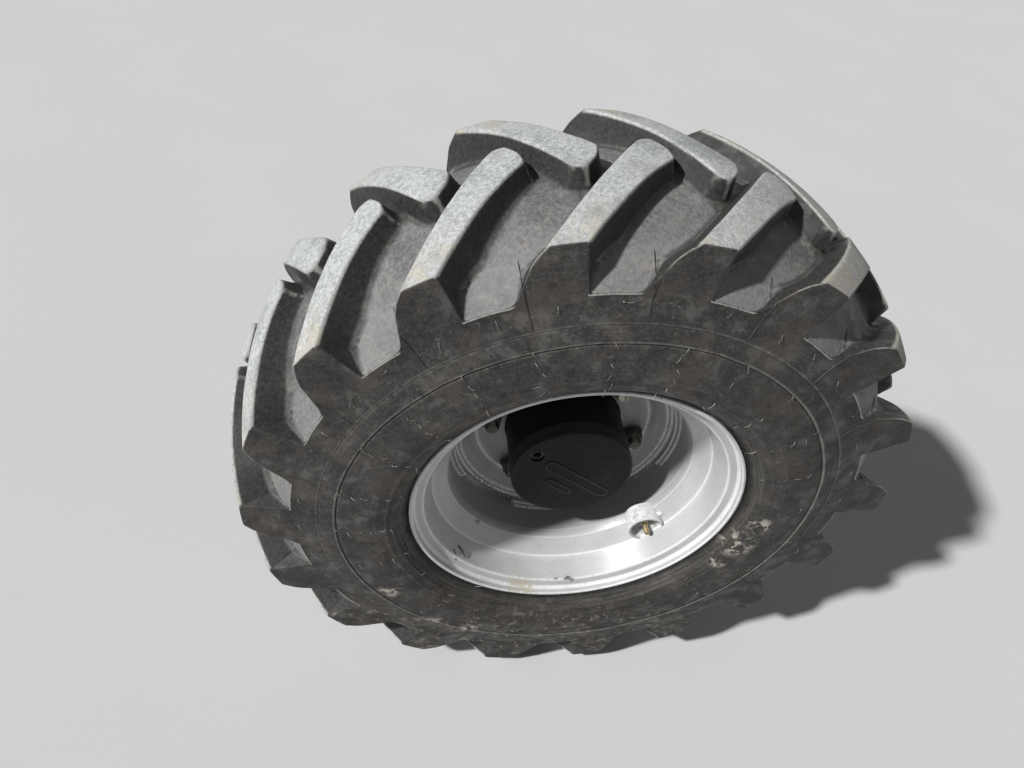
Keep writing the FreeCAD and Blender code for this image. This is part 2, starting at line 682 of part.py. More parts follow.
def build_half_shaft():
    """Half shaft with splines on the end that stands past the bolting face."""
    body = new_body("half_shaft")
    tip = "shaft_reach"
    revolve(body, "shaft_bar", [
        (SPINDLE_END, "0"),
        (SPINDLE_END, "shaft_radius"),
        (tip + " - shaft_radius / 8", "shaft_radius"),
        (tip, "shaft_radius - shaft_radius / 8"),
        (tip, "0"),
    ])
    sketch = new_sketch(body, "spline_outline", "XZ_Plane")
    bind(sketch, "AttachmentOffset.Base.z", "-(seal_wall)")
    width = "shaft_radius * sin(90 / spline_count)"
    outline(sketch, [
        ("shaft_radius - spline_depth", "-" + width),
        ("shaft_radius + spline_depth", "-" + width),
        ("shaft_radius + spline_depth", width),
        ("shaft_radius - spline_depth", width),
    ])
    groove = pocket(body, "spline_groove", sketch, "shaft_reach")
    pattern(body, "spline_grooves", groove, "spline_count")
    return body


def ring_piece(name, outer, inner, front, length):
    """Plain ring round the wheel axis, from its front along its length."""
    body = new_body(name)
    revolve(body, name + "_ring", [
        (front, inner),
        (front, outer),
        ("%s + %s" % (front, length), outer),
        ("%s + %s" % (front, length), inner),
    ])
    return body


SHAFT_BORE = "shaft_radius + running_gap"
VALVE_X = "valve_circle_radius * cos(valve_angle)"
VALVE_Z = "valve_circle_radius * sin(valve_angle)"
PLUG_X = "plug_circle_radius * cos(plug_angle)"
PLUG_Z = "plug_circle_radius * sin(plug_angle)"

pieces = {
    "tyre": build_tyre(),
    "rim_barrel": build_barrel(),
    "rim_disc": build_disc(),
    "wheel_studs": ring_of("wheel_studs", make_stud, "stud_count"),
    "wheel_nuts": ring_of("wheel_nuts", make_nut, "stud_count"),
    "hub_drum": build_hub_drum(),
    "planet_housing": build_planet_housing(),
    "hub_cover": build_cover(),
    "filler_plug": build_plug(),
    "valve_guard": build_guard(),
    "valve_stem": build_stem(),
    "axle_arm": build_arm(),
    "spindle_seal": ring_piece("spindle_seal", "spindle_seal_radius", "spindle_radius + weld_clearance",
                               HUB_BACK + " + seal_gap", "end_gap - seal_gap"),
    "shaft_seal": ring_piece("shaft_seal", "seal_radius", SHAFT_BORE, "(-seal_wall)", "seal_wall"),
    "shaft_bush": ring_piece("shaft_bush", "arm_bore_radius", SHAFT_BORE, SPINDLE_END, "bush_wall"),
    "half_shaft": build_half_shaft(),
}

doc.recompute()

failed = [thing.Name for thing in doc.Objects if "Invalid" in thing.State or "Error" in thing.State]
if failed:
    raise RuntimeError("failed: " + ", ".join(failed))

os.makedirs("parts", exist_ok=True)
for label, piece in pieces.items():
    shape = piece.Shape
    if shape.isNull() or not shape.isValid():
        raise RuntimeError("no valid shape: " + label)
    shape.exportStep(os.path.join("parts", label + ".step"))
    print(label, len(shape.Solids), "solids", round(shape.Volume / 1000), "cm3")
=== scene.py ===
"""Looks of the wheel end: tyre, painted rim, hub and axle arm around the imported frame. Metres."""
import json
import math
import random

import bmesh
import bpy
import numpy as np
from mathutils import Matrix, Vector, noise
from mathutils.geometry import delaunay_2d_cdt


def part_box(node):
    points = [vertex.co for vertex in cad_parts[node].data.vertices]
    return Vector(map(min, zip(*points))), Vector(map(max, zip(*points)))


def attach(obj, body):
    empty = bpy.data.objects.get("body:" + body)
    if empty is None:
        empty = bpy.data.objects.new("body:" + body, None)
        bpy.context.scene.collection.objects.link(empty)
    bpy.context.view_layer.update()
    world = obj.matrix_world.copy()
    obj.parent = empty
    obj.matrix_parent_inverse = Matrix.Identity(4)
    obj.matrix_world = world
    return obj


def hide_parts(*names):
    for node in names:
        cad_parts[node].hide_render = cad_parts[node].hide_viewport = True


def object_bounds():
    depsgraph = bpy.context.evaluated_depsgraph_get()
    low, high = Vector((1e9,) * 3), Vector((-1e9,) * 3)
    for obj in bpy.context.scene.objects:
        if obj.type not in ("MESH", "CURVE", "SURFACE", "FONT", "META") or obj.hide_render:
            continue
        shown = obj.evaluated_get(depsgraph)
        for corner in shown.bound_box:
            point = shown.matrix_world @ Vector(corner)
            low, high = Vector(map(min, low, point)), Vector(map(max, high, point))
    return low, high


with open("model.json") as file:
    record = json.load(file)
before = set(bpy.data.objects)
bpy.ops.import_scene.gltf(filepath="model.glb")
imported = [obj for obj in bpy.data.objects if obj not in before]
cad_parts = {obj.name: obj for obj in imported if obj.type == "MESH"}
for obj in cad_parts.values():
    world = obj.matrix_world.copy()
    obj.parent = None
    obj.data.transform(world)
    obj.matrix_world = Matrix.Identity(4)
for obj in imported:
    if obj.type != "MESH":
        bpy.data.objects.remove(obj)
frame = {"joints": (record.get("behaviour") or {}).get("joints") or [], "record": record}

CAD_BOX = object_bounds()
MM = 0.001
WHEEL_Y = frame["joints"][0]["pos_m"][1] / MM
TYRE_RADIUS = round(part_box("tyre")[1].z / MM, 3)
RIM_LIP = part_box("rim_barrel")[1].z / MM
random.seed(7)

# Tread, in millimetres. Heights run from the wheel's centre plane, outboard positive.
LUG_COUNT = 18
PITCH_ANGLE = 2 * math.pi / LUG_COUNT
PITCH = PITCH_ANGLE * TYRE_RADIUS
SHOULDER = (121.5, 410.0)
LUG_FOOT = (126.5, 344.0)
VALLEY_RADIUS = 404.0
VALLEY_ARC = 175.0
LIP_RADIUS = 351.0
SIDE_POINTS = [(139.5, 298.0), (145.0, 254.0), (138.0, 231.0), (119.0, 212.2)]

# Outline of a lug's top and end face. Columns: along the roll, length along the tyre's profile from
# its middle, flank width per depth. The first edges meet in hollow corners, the others in full ones.
LUG_OUTLINE = [
    (-58.1, 190.0, 0.18),
    (-70.0, 123.9, 0.18),
    (-20.0, 55.5, 0.18),
    (29.7, 9.0, 0.22),
    (26.5, -8.7, 0.22),
    (12.8, -26.8, 0.22),
    (-1.0, -24.0, 0.30),
    (-118.9, 137.0, 0.26),
    (-127.8, 190.0, 0.26),
]
HOLLOW_EDGES = 3
PROFILE_STEP = 0.5
SIDE_RADIUS = 334.0


def smooth_min(a, b, width):
    """Smaller of two values, with a round corner of the given width."""
    mix = np.clip(0.5 + 0.5 * (b - a) / width, 0.0, 1.0)
    return b + (a - b) * mix - width * mix * (1.0 - mix)


def smooth_max(a, b, width):
    """Larger of two values, with a round corner of the given width."""
    return -smooth_min(-a, -b, width)


class Profile:
    """Curve in a plane through the wheel axis, read by its length from the crown's middle."""

    def __init__(self, corners, softness):
        points = np.array(corners, float)
        steps = np.hypot(*np.diff(points, axis=0).T)
        along = np.concatenate([[0.0], np.cumsum(steps)])
        self.at = np.arange(0.0, along[-1] + PROFILE_STEP, PROFILE_STEP)
        raw = [np.interp(self.at, along, points[:, k]) for k in (0, 1)]
        reach = int(softness * 2 / PROFILE_STEP)
        kernel = np.hanning(2 * reach + 3)[1:-1]
        kernel /= kernel.sum()
        mirrored = [np.concatenate([sign * c[reach:0:-1], c, c[-1:].repeat(reach)])
                    for c, sign in zip(raw, (-1.0, 1.0))]
        self.height, self.radius = (np.convolve(c, kernel, "valid") for c in mirrored)

    def place(self, along):
        """Height from the centre plane and radius, for lengths of either sign."""
        away = np.abs(along)
        return (np.sign(along) * np.interp(away, self.at, self.height),
                np.interp(away, self.at, self.radius))

    def length_at(self, radius):
        """Length at which the side of the curve first comes down to a radius."""
        return float(self.at[np.argmax(self.radius <= radius)])


def arc_points(rise, half, count=24):
    """Crown arc from the middle to its shoulder."""
    radius = (half ** 2 + rise ** 2) / (2 * rise)
    return [(x, TYRE_RADIUS - radius + math.sqrt(radius ** 2 - x ** 2))
            for x in np.linspace(0.0, half, count)]


TOP = Profile(arc_points(TYRE_RADIUS - SHOULDER[1], SHOULDER[0]) + [LUG_FOOT] + SIDE_POINTS, 1.2)
SHOULDER_AT = TOP.length_at(SHOULDER[1])
LIP_AT = TOP.length_at(LIP_RADIUS)
SIDE_AT = TOP.length_at(SIDE_RADIUS)
VALLEY_SHARE = 90.0
LEAST_DEPTH = 7.0
CORNER_SOFTNESS = 0.42
BEND_SOFTNESS = 0.15
HOLLOW_SOFTNESS = 2.5
LIP_SLOPE = 2.6
LEADING_FILLET = 0.5
TRAILING_FILLET = 4.5
EDGE_SOFTNESS = 0.21
FOOT_SOFTNESS = 0.8


def valley(along):
    """Height and radius of the valley floor under a place on the lug tops' profile."""
    away = np.abs(along)
    lip_height, lip_radius = TOP.place(np.array(LIP_AT))
    floor_end = VALLEY_ARC * math.asin(float(lip_height) / VALLEY_ARC)
    beyond = (floor_end - VALLEY_SHARE) / (LIP_AT - VALLEY_SHARE)
    under = np.where(away < VALLEY_SHARE, away, VALLEY_SHARE + (away - VALLEY_SHARE) * beyond)
    turn = under / VALLEY_ARC
    radius = VALLEY_RADIUS - VALLEY_ARC * (1.0 - np.cos(turn))
    end_radius = VALLEY_RADIUS - VALLEY_ARC * (1.0 - math.cos(floor_end / VALLEY_ARC))
    radius = radius + (float(lip_radius) - end_radius) * under / floor_end
    top_height, top_radius = TOP.place(along)
    inside = away < LIP_AT
    return (np.where(inside, np.sign(along) * VALLEY_ARC * np.sin(turn), top_height),
            np.where(inside, radius, top_radius))


def depth_at(along):
    """Distance between the lug tops' profile and the valley floor."""
    top, floor = TOP.place(along), valley(along)
    return np.hypot(top[0] - floor[0], top[1] - floor[1])


def lug_field(angle, along, radius, depth):
    """How far a place is outside one lug: 0 at its top edge, 1 at the foot of its flank. The second
    value is above 0 behind the lug, as the wheel rolls forward."""
    x = radius * np.sin(angle)
    edges = []
    for (x0, y0, spread), (x1, y1, _) in zip(LUG_OUTLINE[:-1], LUG_OUTLINE[1:]):
        run = math.hypot(x1 - x0, y1 - y0)
        away = (x - x0) * (y0 - y1) / run + (along - y0) * (x1 - x0) / run
        edges.append(away / np.maximum(depth * spread, LEAST_DEPTH * spread))
    field = smooth_min(smooth_min(edges[0], edges[1], BEND_SOFTNESS), edges[2], HOLLOW_SOFTNESS)
    behind = edges[-1] - edges[0]
    for edge in edges[HOLLOW_EDGES:]:
        field = smooth_max(field, edge, CORNER_SOFTNESS)
    return field, behind


def land_field(along_roll, along):
    """The same for the nearest lug of either side, or for the sidewall past the pockets."""
    angle = along_roll / TYRE_RADIUS
    radius = TOP.place(along)[1]
    depth = depth_at(along)
    field = np.full_like(depth, 1e3)
    behind = np.zeros_like(depth)
    for side, shift in ((1.0, 0.0), (-1.0, 0.5)):
        for index in range(-1, 3):
            one, after = lug_field(angle - (index + shift) * PITCH_ANGLE, side * along, radius, depth)
            behind = np.where(one < field, after, behind)
            field = np.minimum(field, one)
    width = np.interp(behind, (-1.0, 2.0), (LEADING_FILLET, TRAILING_FILLET))
    return smooth_min(field, (LIP_AT - np.abs(along)) / LIP_SLOPE, width)


def rise_of(field):
    """Share of the lug height at a value of the field: round top edge, flank, fillet at the foot."""
    ramp = smooth_max(1.0 - field, np.zeros_like(field), FOOT_SOFTNESS)
    return smooth_min(ramp, np.ones_like(field), EDGE_SOFTNESS)


def surface(along_roll, along):
    """Point of the tread at a place of the unrolled pattern, with its height share and field."""
    field = land_field(along_roll, along)
    rise = rise_of(field)
    top, floor = TOP.place(along), valley(along)
    height = floor[0] + (top[0] - floor[0]) * rise
    radius = floor[1] + (top[1] - floor[1]) * rise
    return height, radius, rise, field


# Tread mesh: one pitch is laid out flat along contours of the field, then repeated round the wheel.
FIELD_LEVELS = (-0.40, -0.16, -0.04, 0.09, 0.26, 0.55, 0.82, 1.05, 1.4, 2.0)
COLUMNS = 20
CELL = 2.0
STEP = 6.5
FILL = 9.0
SHOULDER_ROWS = (-3.2, -1.1, 0.0, 1.1, 3.2)
LIP_ROWS = (0.6, 4.0)


def contour(level, xs, ts, field):
    """Lines of equal field on a grid, each a list of (x, t)."""
    above = field > level
    links = {}

    def crossing(i, j, along_x):
        """Where the level crosses a grid edge, named by its place in the grid."""
        key = (i, j, along_x)
        a = field[j, i]
        b = field[j, i + 1] if along_x else field[j + 1, i]
        share = (level - a) / (b - a)
        if along_x:
            return key, (xs[i] + share * (xs[i + 1] - xs[i]), ts[j])
        return key, (xs[i], ts[j] + share * (ts[j + 1] - ts[j]))

    places = {}
    mixed = (above[:-1, :-1] != above[1:, :-1]) | (above[:-1, :-1] != above[:-1, 1:]) \
        | (above[1:, 1:] != above[1:, :-1])
    for j, i in zip(*np.nonzero(mixed)):
        ends = []
        for a, b, edge in (((j, i), (j, i + 1), (i, j, True)),
                           ((j, i + 1), (j + 1, i + 1), (i + 1, j, False)),
                           ((j + 1, i), (j + 1, i + 1), (i, j + 1, True)),
                           ((j, i), (j + 1, i), (i, j, False))):
            if above[a] != above[b]:
                key, place = crossing(*edge)
                places[key] = place
                ends.append(key)
        for a, b in zip(ends[0::2], ends[1::2]):
            links.setdefault(a, []).append(b)
            links.setdefault(b, []).append(a)
    lines = []
    starts = [k for k, v in links.items() if len(v) == 1] + list(links)
    used = set()
    for start in starts:
        if start in used:
            continue
        line, here = [start], start
        used.add(start)
        while True:
            onward = [k for k in links[here] if k not in used]
            if not onward:
                break
            here = onward[0]
            used.add(here)
            line.append(here)
        closed = len(line) > 2 and start in links[here] and len(links[start]) == 2
        lines.append(([places[k] for k in line], closed))
    return lines


def resampled(line, closed, step):
    """Points evenly spaced along a line, its ends kept."""
    points = np.array(line + line[:1] if closed else line)
    steps = np.hypot(*np.diff(points, axis=0).T)
    along = np.concatenate([[0.0], np.cumsum(steps)])
    if along[-1] < step:
        return None
    count = max(int(round(along[-1] / step)), 2)
    wanted = np.linspace(0.0, along[-1], count + 1)
    places = np.stack([np.interp(wanted, along, points[:, k]) for k in (0, 1)], axis=1)
    return places[:-1] if closed else places


def pitch_layout():
    """Flat triangulation of one pitch: points (x, t) and triangles."""
    xs = np.linspace(0.0, PITCH, int(PITCH / CELL) + 1)
    ts = np.linspace(-SIDE_AT, SIDE_AT, int(2 * SIDE_AT / CELL) + 1)
    field = land_field(*np.meshgrid(xs, ts))
    chains = []
    for level in FIELD_LEVELS:
        for line, closed in contour(level, xs, ts, field):
            places = resampled(line, closed, STEP)
            if places is not None:
                chains.append((places, closed))
    row = np.linspace(0.0, PITCH, COLUMNS + 1)
    rows = [SHOULDER_AT + more for more in SHOULDER_ROWS] + [LIP_AT + more for more in LIP_ROWS]
    for at in rows + [SIDE_AT]:
        for sign in (-1, 1):
            chains.append((np.stack([row, np.full_like(row, sign * at)], axis=1), False))

    cuts = sorted({round(float(p[1]), 2) for places, closed in chains if not closed
                   for p in (places[0], places[-1])})
    merged = [cuts[0]]
    for cut in cuts[1:]:
        if cut - merged[-1] > 0.05:
            merged.append(cut)
    for cut in np.arange(-SIDE_AT, SIDE_AT, FILL):
        if min(abs(cut - other) for other in merged) > FILL * 0.45:
            merged.append(float(cut))
    merged.sort()

    points, edges = [], []

    def add_chain(places, closed):
        first = len(points)
        points.extend((float(x), float(t)) for x, t in places)
        edges.extend((k, k + 1) for k in range(first, len(points) - 1))
        if closed:
            edges.append((len(points) - 1, first))

    for x in (0.0, PITCH):
        add_chain([(x, cut) for cut in merged], False)
    cut_array = np.array(merged)
    for places, closed in chains:
        if not closed:
            for end in (0, -1):
                x = places[end][0]
                if x < CELL / 2 or x > PITCH - CELL / 2:
                    nearest = cut_array[np.argmin(np.abs(cut_array - places[end][1]))]
                    places[end] = (0.0 if x < CELL / 2 else PITCH, nearest)
        add_chain(places, closed)
    taken = np.array(points)
    fill = []
    for row, t in enumerate(np.arange(-SIDE_AT + FILL / 2, SIDE_AT, FILL * 0.87)):
        for x in np.arange(FILL / 2 + (row % 2) * FILL / 2, PITCH - FILL / 3, FILL):
            if np.min((taken[:, 0] - x) ** 2 + (taken[:, 1] - t) ** 2) > (FILL * 0.5) ** 2:
                fill.append((float(x), float(t)))
    points.extend(fill)
    coords, _, faces, _, _, _ = delaunay_2d_cdt([Vector(p) for p in points], edges, [], 1, 1e-4)
    return np.array([tuple(c) for c in coords]), [tuple(f) for f in faces]


# Sidewall below the lugs. Columns: radius, half width of the mark, how far it stands out.
SIDE_MARKS = [
    (319.0, 0.8, -0.7),
    (298.0, 1.2, -1.8),
    (239.0, 1.4, 0.9),
    (229.0, 1.0, 0.8),
    (224.5, 1.0, 0.8),
    (220.0, 1.0, 0.8),
]
SIDEWALL_MARK = 3.0
LOWER_SIDE_SINK = 1.3
LOWER_SIDE_RADIUS = 298.0
BEAD_RADIUS = RIM_LIP + 0.5


def side_rows():
    """Lengths along the profile of the sidewall's rows, close together at its marks."""
    end = TOP.length_at(BEAD_RADIUS + 1.0)
    rows = set(np.arange(SIDE_AT, end, 7.5).tolist())
    for radius, half, _ in SIDE_MARKS:
        middle = TOP.length_at(radius)
        near = {middle + half * share for share in (-2.2, -1.1, -0.5, 0.0, 0.5, 1.1, 2.2)}
        rows = {row for row in rows if abs(row - middle) > half * 3.4} | near
    rows = sorted(row for row in rows if SIDE_AT <= row < end - 1.0)
    return [SIDE_AT] + [row for row in rows if row > SIDE_AT + 1.0] + [end]


def side_relief(radius):
    """How far the sidewall stands out at a radius: rings, grooves and the lower half's step."""
    out = -LOWER_SIDE_SINK / (1.0 + np.exp((radius - LOWER_SIDE_RADIUS) * 1.6))
    for middle, half, height in SIDE_MARKS:
        out = out + height * np.exp(-((radius - middle) / half) ** 2)
    return out


TYRE_INSIDE = [(112.0, 212.2), (106.0, 208.0), (82.0, 191.5), (88.0, 202.0), (128.0, 280.0),
               (118.0, 345.0), (70.0, 384.0)]
# Worn, moulded rubber isn't even. Columns: size of the unevenness and how far it moves a point, in metres.
UNEVENNESS = ((0.045, 0.0005), (0.011, 0.00028))


def worn(points):
    """Points moved a little by noise of both sizes."""
    for size, amount in UNEVENNESS:
        points = np.array([point + amount * np.array(noise.noise_vector(Vector(point) / size))
                           for point in points])
    return points


def wheel_point(angle, height, radius):
    """Place in the frame, in metres, of a point on the wheel. Angle 0 is up, forward positive."""
    return np.stack([radius * np.sin(angle), WHEEL_Y - height, radius * np.cos(angle)], axis=-1) * MM


def placed(x, z, height):
    """Place in the frame, in metres, of a point beside the wheel axis at a height outboard."""
    return x * MM, (WHEEL_Y - height) * MM, z * MM


def ring_place(radius, degrees):
    """Place (x, z) on a circle round the wheel axis, from forward."""
    return radius * math.cos(math.radians(degrees)), radius * math.sin(math.radians(degrees))


def full_turn(count):
    """Angles of points evenly spaced round a circle."""
    return [2 * math.pi * k / count for k in range(count)]


def circle(centre, axis, radius, count):
    """Points on a circle round an axis."""
    one = axis.orthogonal().normalized()
    two = axis.cross(one)
    return [centre + (one * math.cos(turn) + two * math.sin(turn)) * radius for turn in full_turn(count)]


def linked(name, data):
    """New object in the scene."""
    thing = bpy.data.objects.new(name, data)
    bpy.context.scene.collection.objects.link(thing)
    return thing


def new_object(name, points, faces, smooth=True):
    """Mesh object from points in metres."""
    mesh = bpy.data.meshes.new(name)
    mesh.from_pydata([tuple(map(float, p)) for p in points], [], faces)
    mesh.validate()
    if smooth:
        mesh.shade_smooth()
    return linked(name, mesh)


def set_attribute(thing, name, values):
    """Number for each point, read by the material."""
    attribute = thing.data.attributes.new(name, "FLOAT", "POINT")
    attribute.data.foreach_set("value", np.asarray(values, np.float32))


def mark_bends(thing):
    """Measure how sharply the surface bends at each point: above 0 on edges, below 0 in corners."""
    mesh = thing.data
    count = len(mesh.vertices)
    points, normals = np.empty(count * 3), np.empty(count * 3)
    mesh.vertices.foreach_get("co", points)
    mesh.vertices.foreach_get("normal", normals)
    points, normals = points.reshape(-1, 3), normals.reshape(-1, 3)
    ends = np.empty(len(mesh.edges) * 2, int)
    mesh.edges.foreach_get("vertices", ends)
    a, b = ends.reshape(-1, 2).T
    along = points[b] - points[a]
    along /= np.maximum(np.linalg.norm(along, axis=1, keepdims=True), 1e-9)
    total = np.bincount(a, np.sum(along * normals[a], axis=1), count)
    total -= np.bincount(b, np.sum(along * normals[b], axis=1), count)
    degree = np.bincount(a, minlength=count) + np.bincount(b, minlength=count)
    set_attribute(thing, "bend", -total / np.maximum(degree, 1))


def build_tyre():
    """Tread repeated from one pitch, both sidewalls and the inside, as one closed mesh."""
    flat, faces = pitch_layout()
    height, radius, rise, field = surface(flat[:, 0], flat[:, 1])
    left = np.nonzero(flat[:, 0] < 1e-3)[0]
    right = np.nonzero(flat[:, 0] > PITCH - 1e-3)[0]
    partner = {int(r): int(left[np.argmin(np.abs(flat[left, 1] - flat[r, 1]))]) for r in right}
    inner = [k for k in range(len(flat)) if k not in partner]
    slot_of = {k: index for index, k in enumerate(inner)}
    size = len(inner)
    angle = flat[inner, 0] / TYRE_RADIUS
    points, triangles = [], []
    for turn in range(LUG_COUNT):
        points.append(wheel_point(angle + turn * PITCH_ANGLE, height[inner], radius[inner]))
        here, onward = turn * size, (turn + 1) % LUG_COUNT * size
        for face in faces:
            triangles.append(tuple(onward + slot_of[partner[k]] if k in partner else here + slot_of[k]
                                   for k in face))
    points = np.concatenate(points)

    edge = {}
    for sign in (-1, 1):
        on_edge = [k for k in inner if abs(flat[k, 1] - sign * SIDE_AT) < 1e-3]
        on_edge.sort(key=lambda k: flat[k, 0])
        edge[sign] = [turn * size + slot_of[k] for turn in range(LUG_COUNT) for k in on_edge]
    angles = np.arctan2(points[edge[1], 0], points[edge[1], 2])
    rings = []
    for row in side_rows()[1:]:
        h, r = (float(value) for value in TOP.place(np.array(row)))
        rings.append((h + float(side_relief(r)), r))
    blocks, base = [points], len(points)
    last = {}
    for sign in (-1, 1):
        last[sign] = edge[sign]
        for h, r in rings + TYRE_INSIDE:
            last[sign] = stitch(blocks, triangles, last[sign], base, angles, h * sign, r, sign)
            base += len(angles)
    bridge(triangles, last[1], last[-1])
    points = np.concatenate(blocks)
    tyre = new_object("tyre_rubber", worn(points), triangles)
    tyre.data.flip_normals()
    for name, values, beyond in (("lug_rise", rise[inner], 1.0), ("lug_field", field[inner], -4.0),
                                 ("across", np.abs(flat[inner, 1]) / SHOULDER_AT, SIDEWALL_MARK)):
        values = np.tile(values, LUG_COUNT)
        set_attribute(tyre, name, np.concatenate([values, np.full(len(points) - len(values), beyond)]))
    return tyre


def stitch(blocks, triangles, before, base, angles, height, radius, side):
    """Add one ring of points and the faces between it and the ring before."""
    count = len(angles)
    blocks.append(wheel_point(angles, np.full(count, height), np.full(count, radius)))
    row = list(range(base, base + count))
    bridge(triangles, *((before, row) if side > 0 else (row, before)))
    return row


def bridge(faces, outer, inner):
    """Quads between two rings with the same number of points."""
    count = len(outer)
    for k in range(count):
        after = (k + 1) % count
        faces.append((outer[k], outer[after], inner[after], inner[k]))


def strung(name, strings, sharp=32, finish=list):
    """Object made of strings of rings. Each ring is joined to the next, and both ends have a face."""
    points, faces = [], []
    for rings in strings:
        count = len(rings[0])
        first = len(points)
        for ring in rings:
            points.extend(ring)
        for low in range(first, len(points) - count, count):
            bridge(faces, range(low, low + count), range(low + count, low + 2 * count))
        faces.append(tuple(range(first, first + count)))
        faces.append(tuple(range(len(points) - count, len(points))))
    return tidied(new_object(name, finish(points), faces), math.radians(sharp))


def loop_faces(rings, count):
    """Faces of a closed row of rings."""
    faces = []
    for ring in range(rings):
        low, high = ring * count, (ring + 1) % rings * count
        bridge(faces, range(low, low + count), range(high, high + count))
    return faces


# Fine rubber lines left by the joints of the mould, one in each valley, and the vent hairs.
MOULD_LINE_TURN = math.radians(0.6)
MOULD_LINE_START = 96.0
MOULD_LINE_END = 319.0
MOULD_LINE = ((-0.6, -0.5), (-0.45, 0.6), (0.0, 0.95), (0.45, 0.6), (0.6, -0.5))
HAIR_ROWS = (300.0, 286.0, 272.0, 258.0, 244.5, 231.0)
HAIR_ROW_COUNT = 24
HAIR_ROW_TURN = math.radians(-35.0)
HAIR_SHARE = 0.85
INNER_HAIR_MISSES = 0.35
HAIR_ROOT = 0.6
HAIR_LIMIT = 144.1
HAIR_RINGS = 5
FOOT_HAIR_RADIUS = 343.0
FOOT_HAIR_TURN = math.radians(-24.9)
LIP_HAIRS = (-19.9, -3.9, 12.9, 58.0, 139.0, 211.0, 290.0)
LIP_HAIR_RADIUS = 216.5


def side_path():
    """Heights and radii from the valley over the lip and down the sidewall, with outward normals."""
    along = np.concatenate([np.arange(MOULD_LINE_START, LIP_AT - 6, 5.0),
                            np.arange(LIP_AT - 6, LIP_AT + 5, 1.0),
                            np.arange(LIP_AT + 5, TOP.length_at(BEAD_RADIUS + 3.0), 3.0)])
    height, radius, _, _ = surface(np.full_like(along, MOULD_LINE_TURN * TYRE_RADIUS), along)
    below = radius < SIDE_RADIUS - 1.0
    height = np.where(below, height + side_relief(radius), height)
    across = np.gradient(np.stack([height, radius]), axis=1)
    across /= np.hypot(*across)
    return height, radius, -across[1], across[0]


def build_mould_lines():
    """Thin ribs of rubber across both lips."""
    rows = [row for row in zip(*side_path()) if row[1] > MOULD_LINE_END]
    strings = []
    for side, shift in ((1, 0.0), (-1, 0.5)):
        for index in range(LUG_COUNT):
            turn = (index + shift) * PITCH_ANGLE + MOULD_LINE_TURN
            rings = []
            for k, (height, radius, out_h, out_r) in enumerate(rows):
                taper = min(1.0, (k + 0.4) / 3, (len(rows) - k - 0.6) / 2)
                ring = []
                for wide, high in MOULD_LINE:
                    rise = (high + 0.5) * taper - 0.5
                    r = radius + out_r * rise
                    ring.append(wheel_point(turn + side * wide * taper / r,
                                            side * (height + out_h * rise), r))
                rings.append(ring)
            strings.append(rings)
    return strung("mould_lines", strings, 60, worn)


# Painted shadows of two hairs: dark rods lying on the barrel. Columns: angle round the wheel axis, radius
# and height of each end.
SHADOW_STROKES = [
    ((220.0, 189.9, 101.4), (224.0, 197.0, 109.6)),
    ((222.3, 187.0, 93.0), (228.0, 190.4, 102.8)),
]
SHADOW_STROKE_RADIUS = 0.95
SHADOW_STROKE_RINGS = 7


def build_shadow_strokes():
    """Two painted hair shadows on the barrel, drawn as thin bent dark rods."""
    strings = []
    for ends in SHADOW_STROKES:
        low, high = (Vector((*ring_place(radius, degrees), height)) for degrees, radius, height in ends)
        rings = []
        for share in np.linspace(0.0, 1.0, SHADOW_STROKE_RINGS):
            here = low.lerp(high, share) * (1.0 - 0.004 * math.sin(math.pi * share))
            size = SHADOW_STROKE_RADIUS * (0.45 + 0.55 * math.sin(math.pi * (0.15 + 0.7 * share)))
            rings.append([placed(*spot) for spot in circle(here, (high - low).normalized(), size, 8)])
        strings.append(rings)
    return strung("rim_shadow_strokes", strings, 80)


def hair_places():
    """Angle and radius of each hair: in rows down the sidewall, at each lug's foot and near the rim."""
    places = []
    for row in range(HAIR_ROW_COUNT):
        turn = HAIR_ROW_TURN + row * 2 * math.pi / HAIR_ROW_COUNT
        for place in HAIR_ROWS:
            if random.random() < HAIR_SHARE:
                places.append((turn + math.radians(random.gauss(0.0, 0.5)), place + random.gauss(0.0, 1.2)))
    for row in range(2 * LUG_COUNT):
        turn = FOOT_HAIR_TURN + row * PITCH_ANGLE / 2
        places.append((turn + math.radians(random.gauss(0.0, 0.8)),
                       FOOT_HAIR_RADIUS + random.gauss(0.0, 1.0)))
    return places + [(math.radians(turn), LIP_HAIR_RADIUS) for turn in LIP_HAIRS]


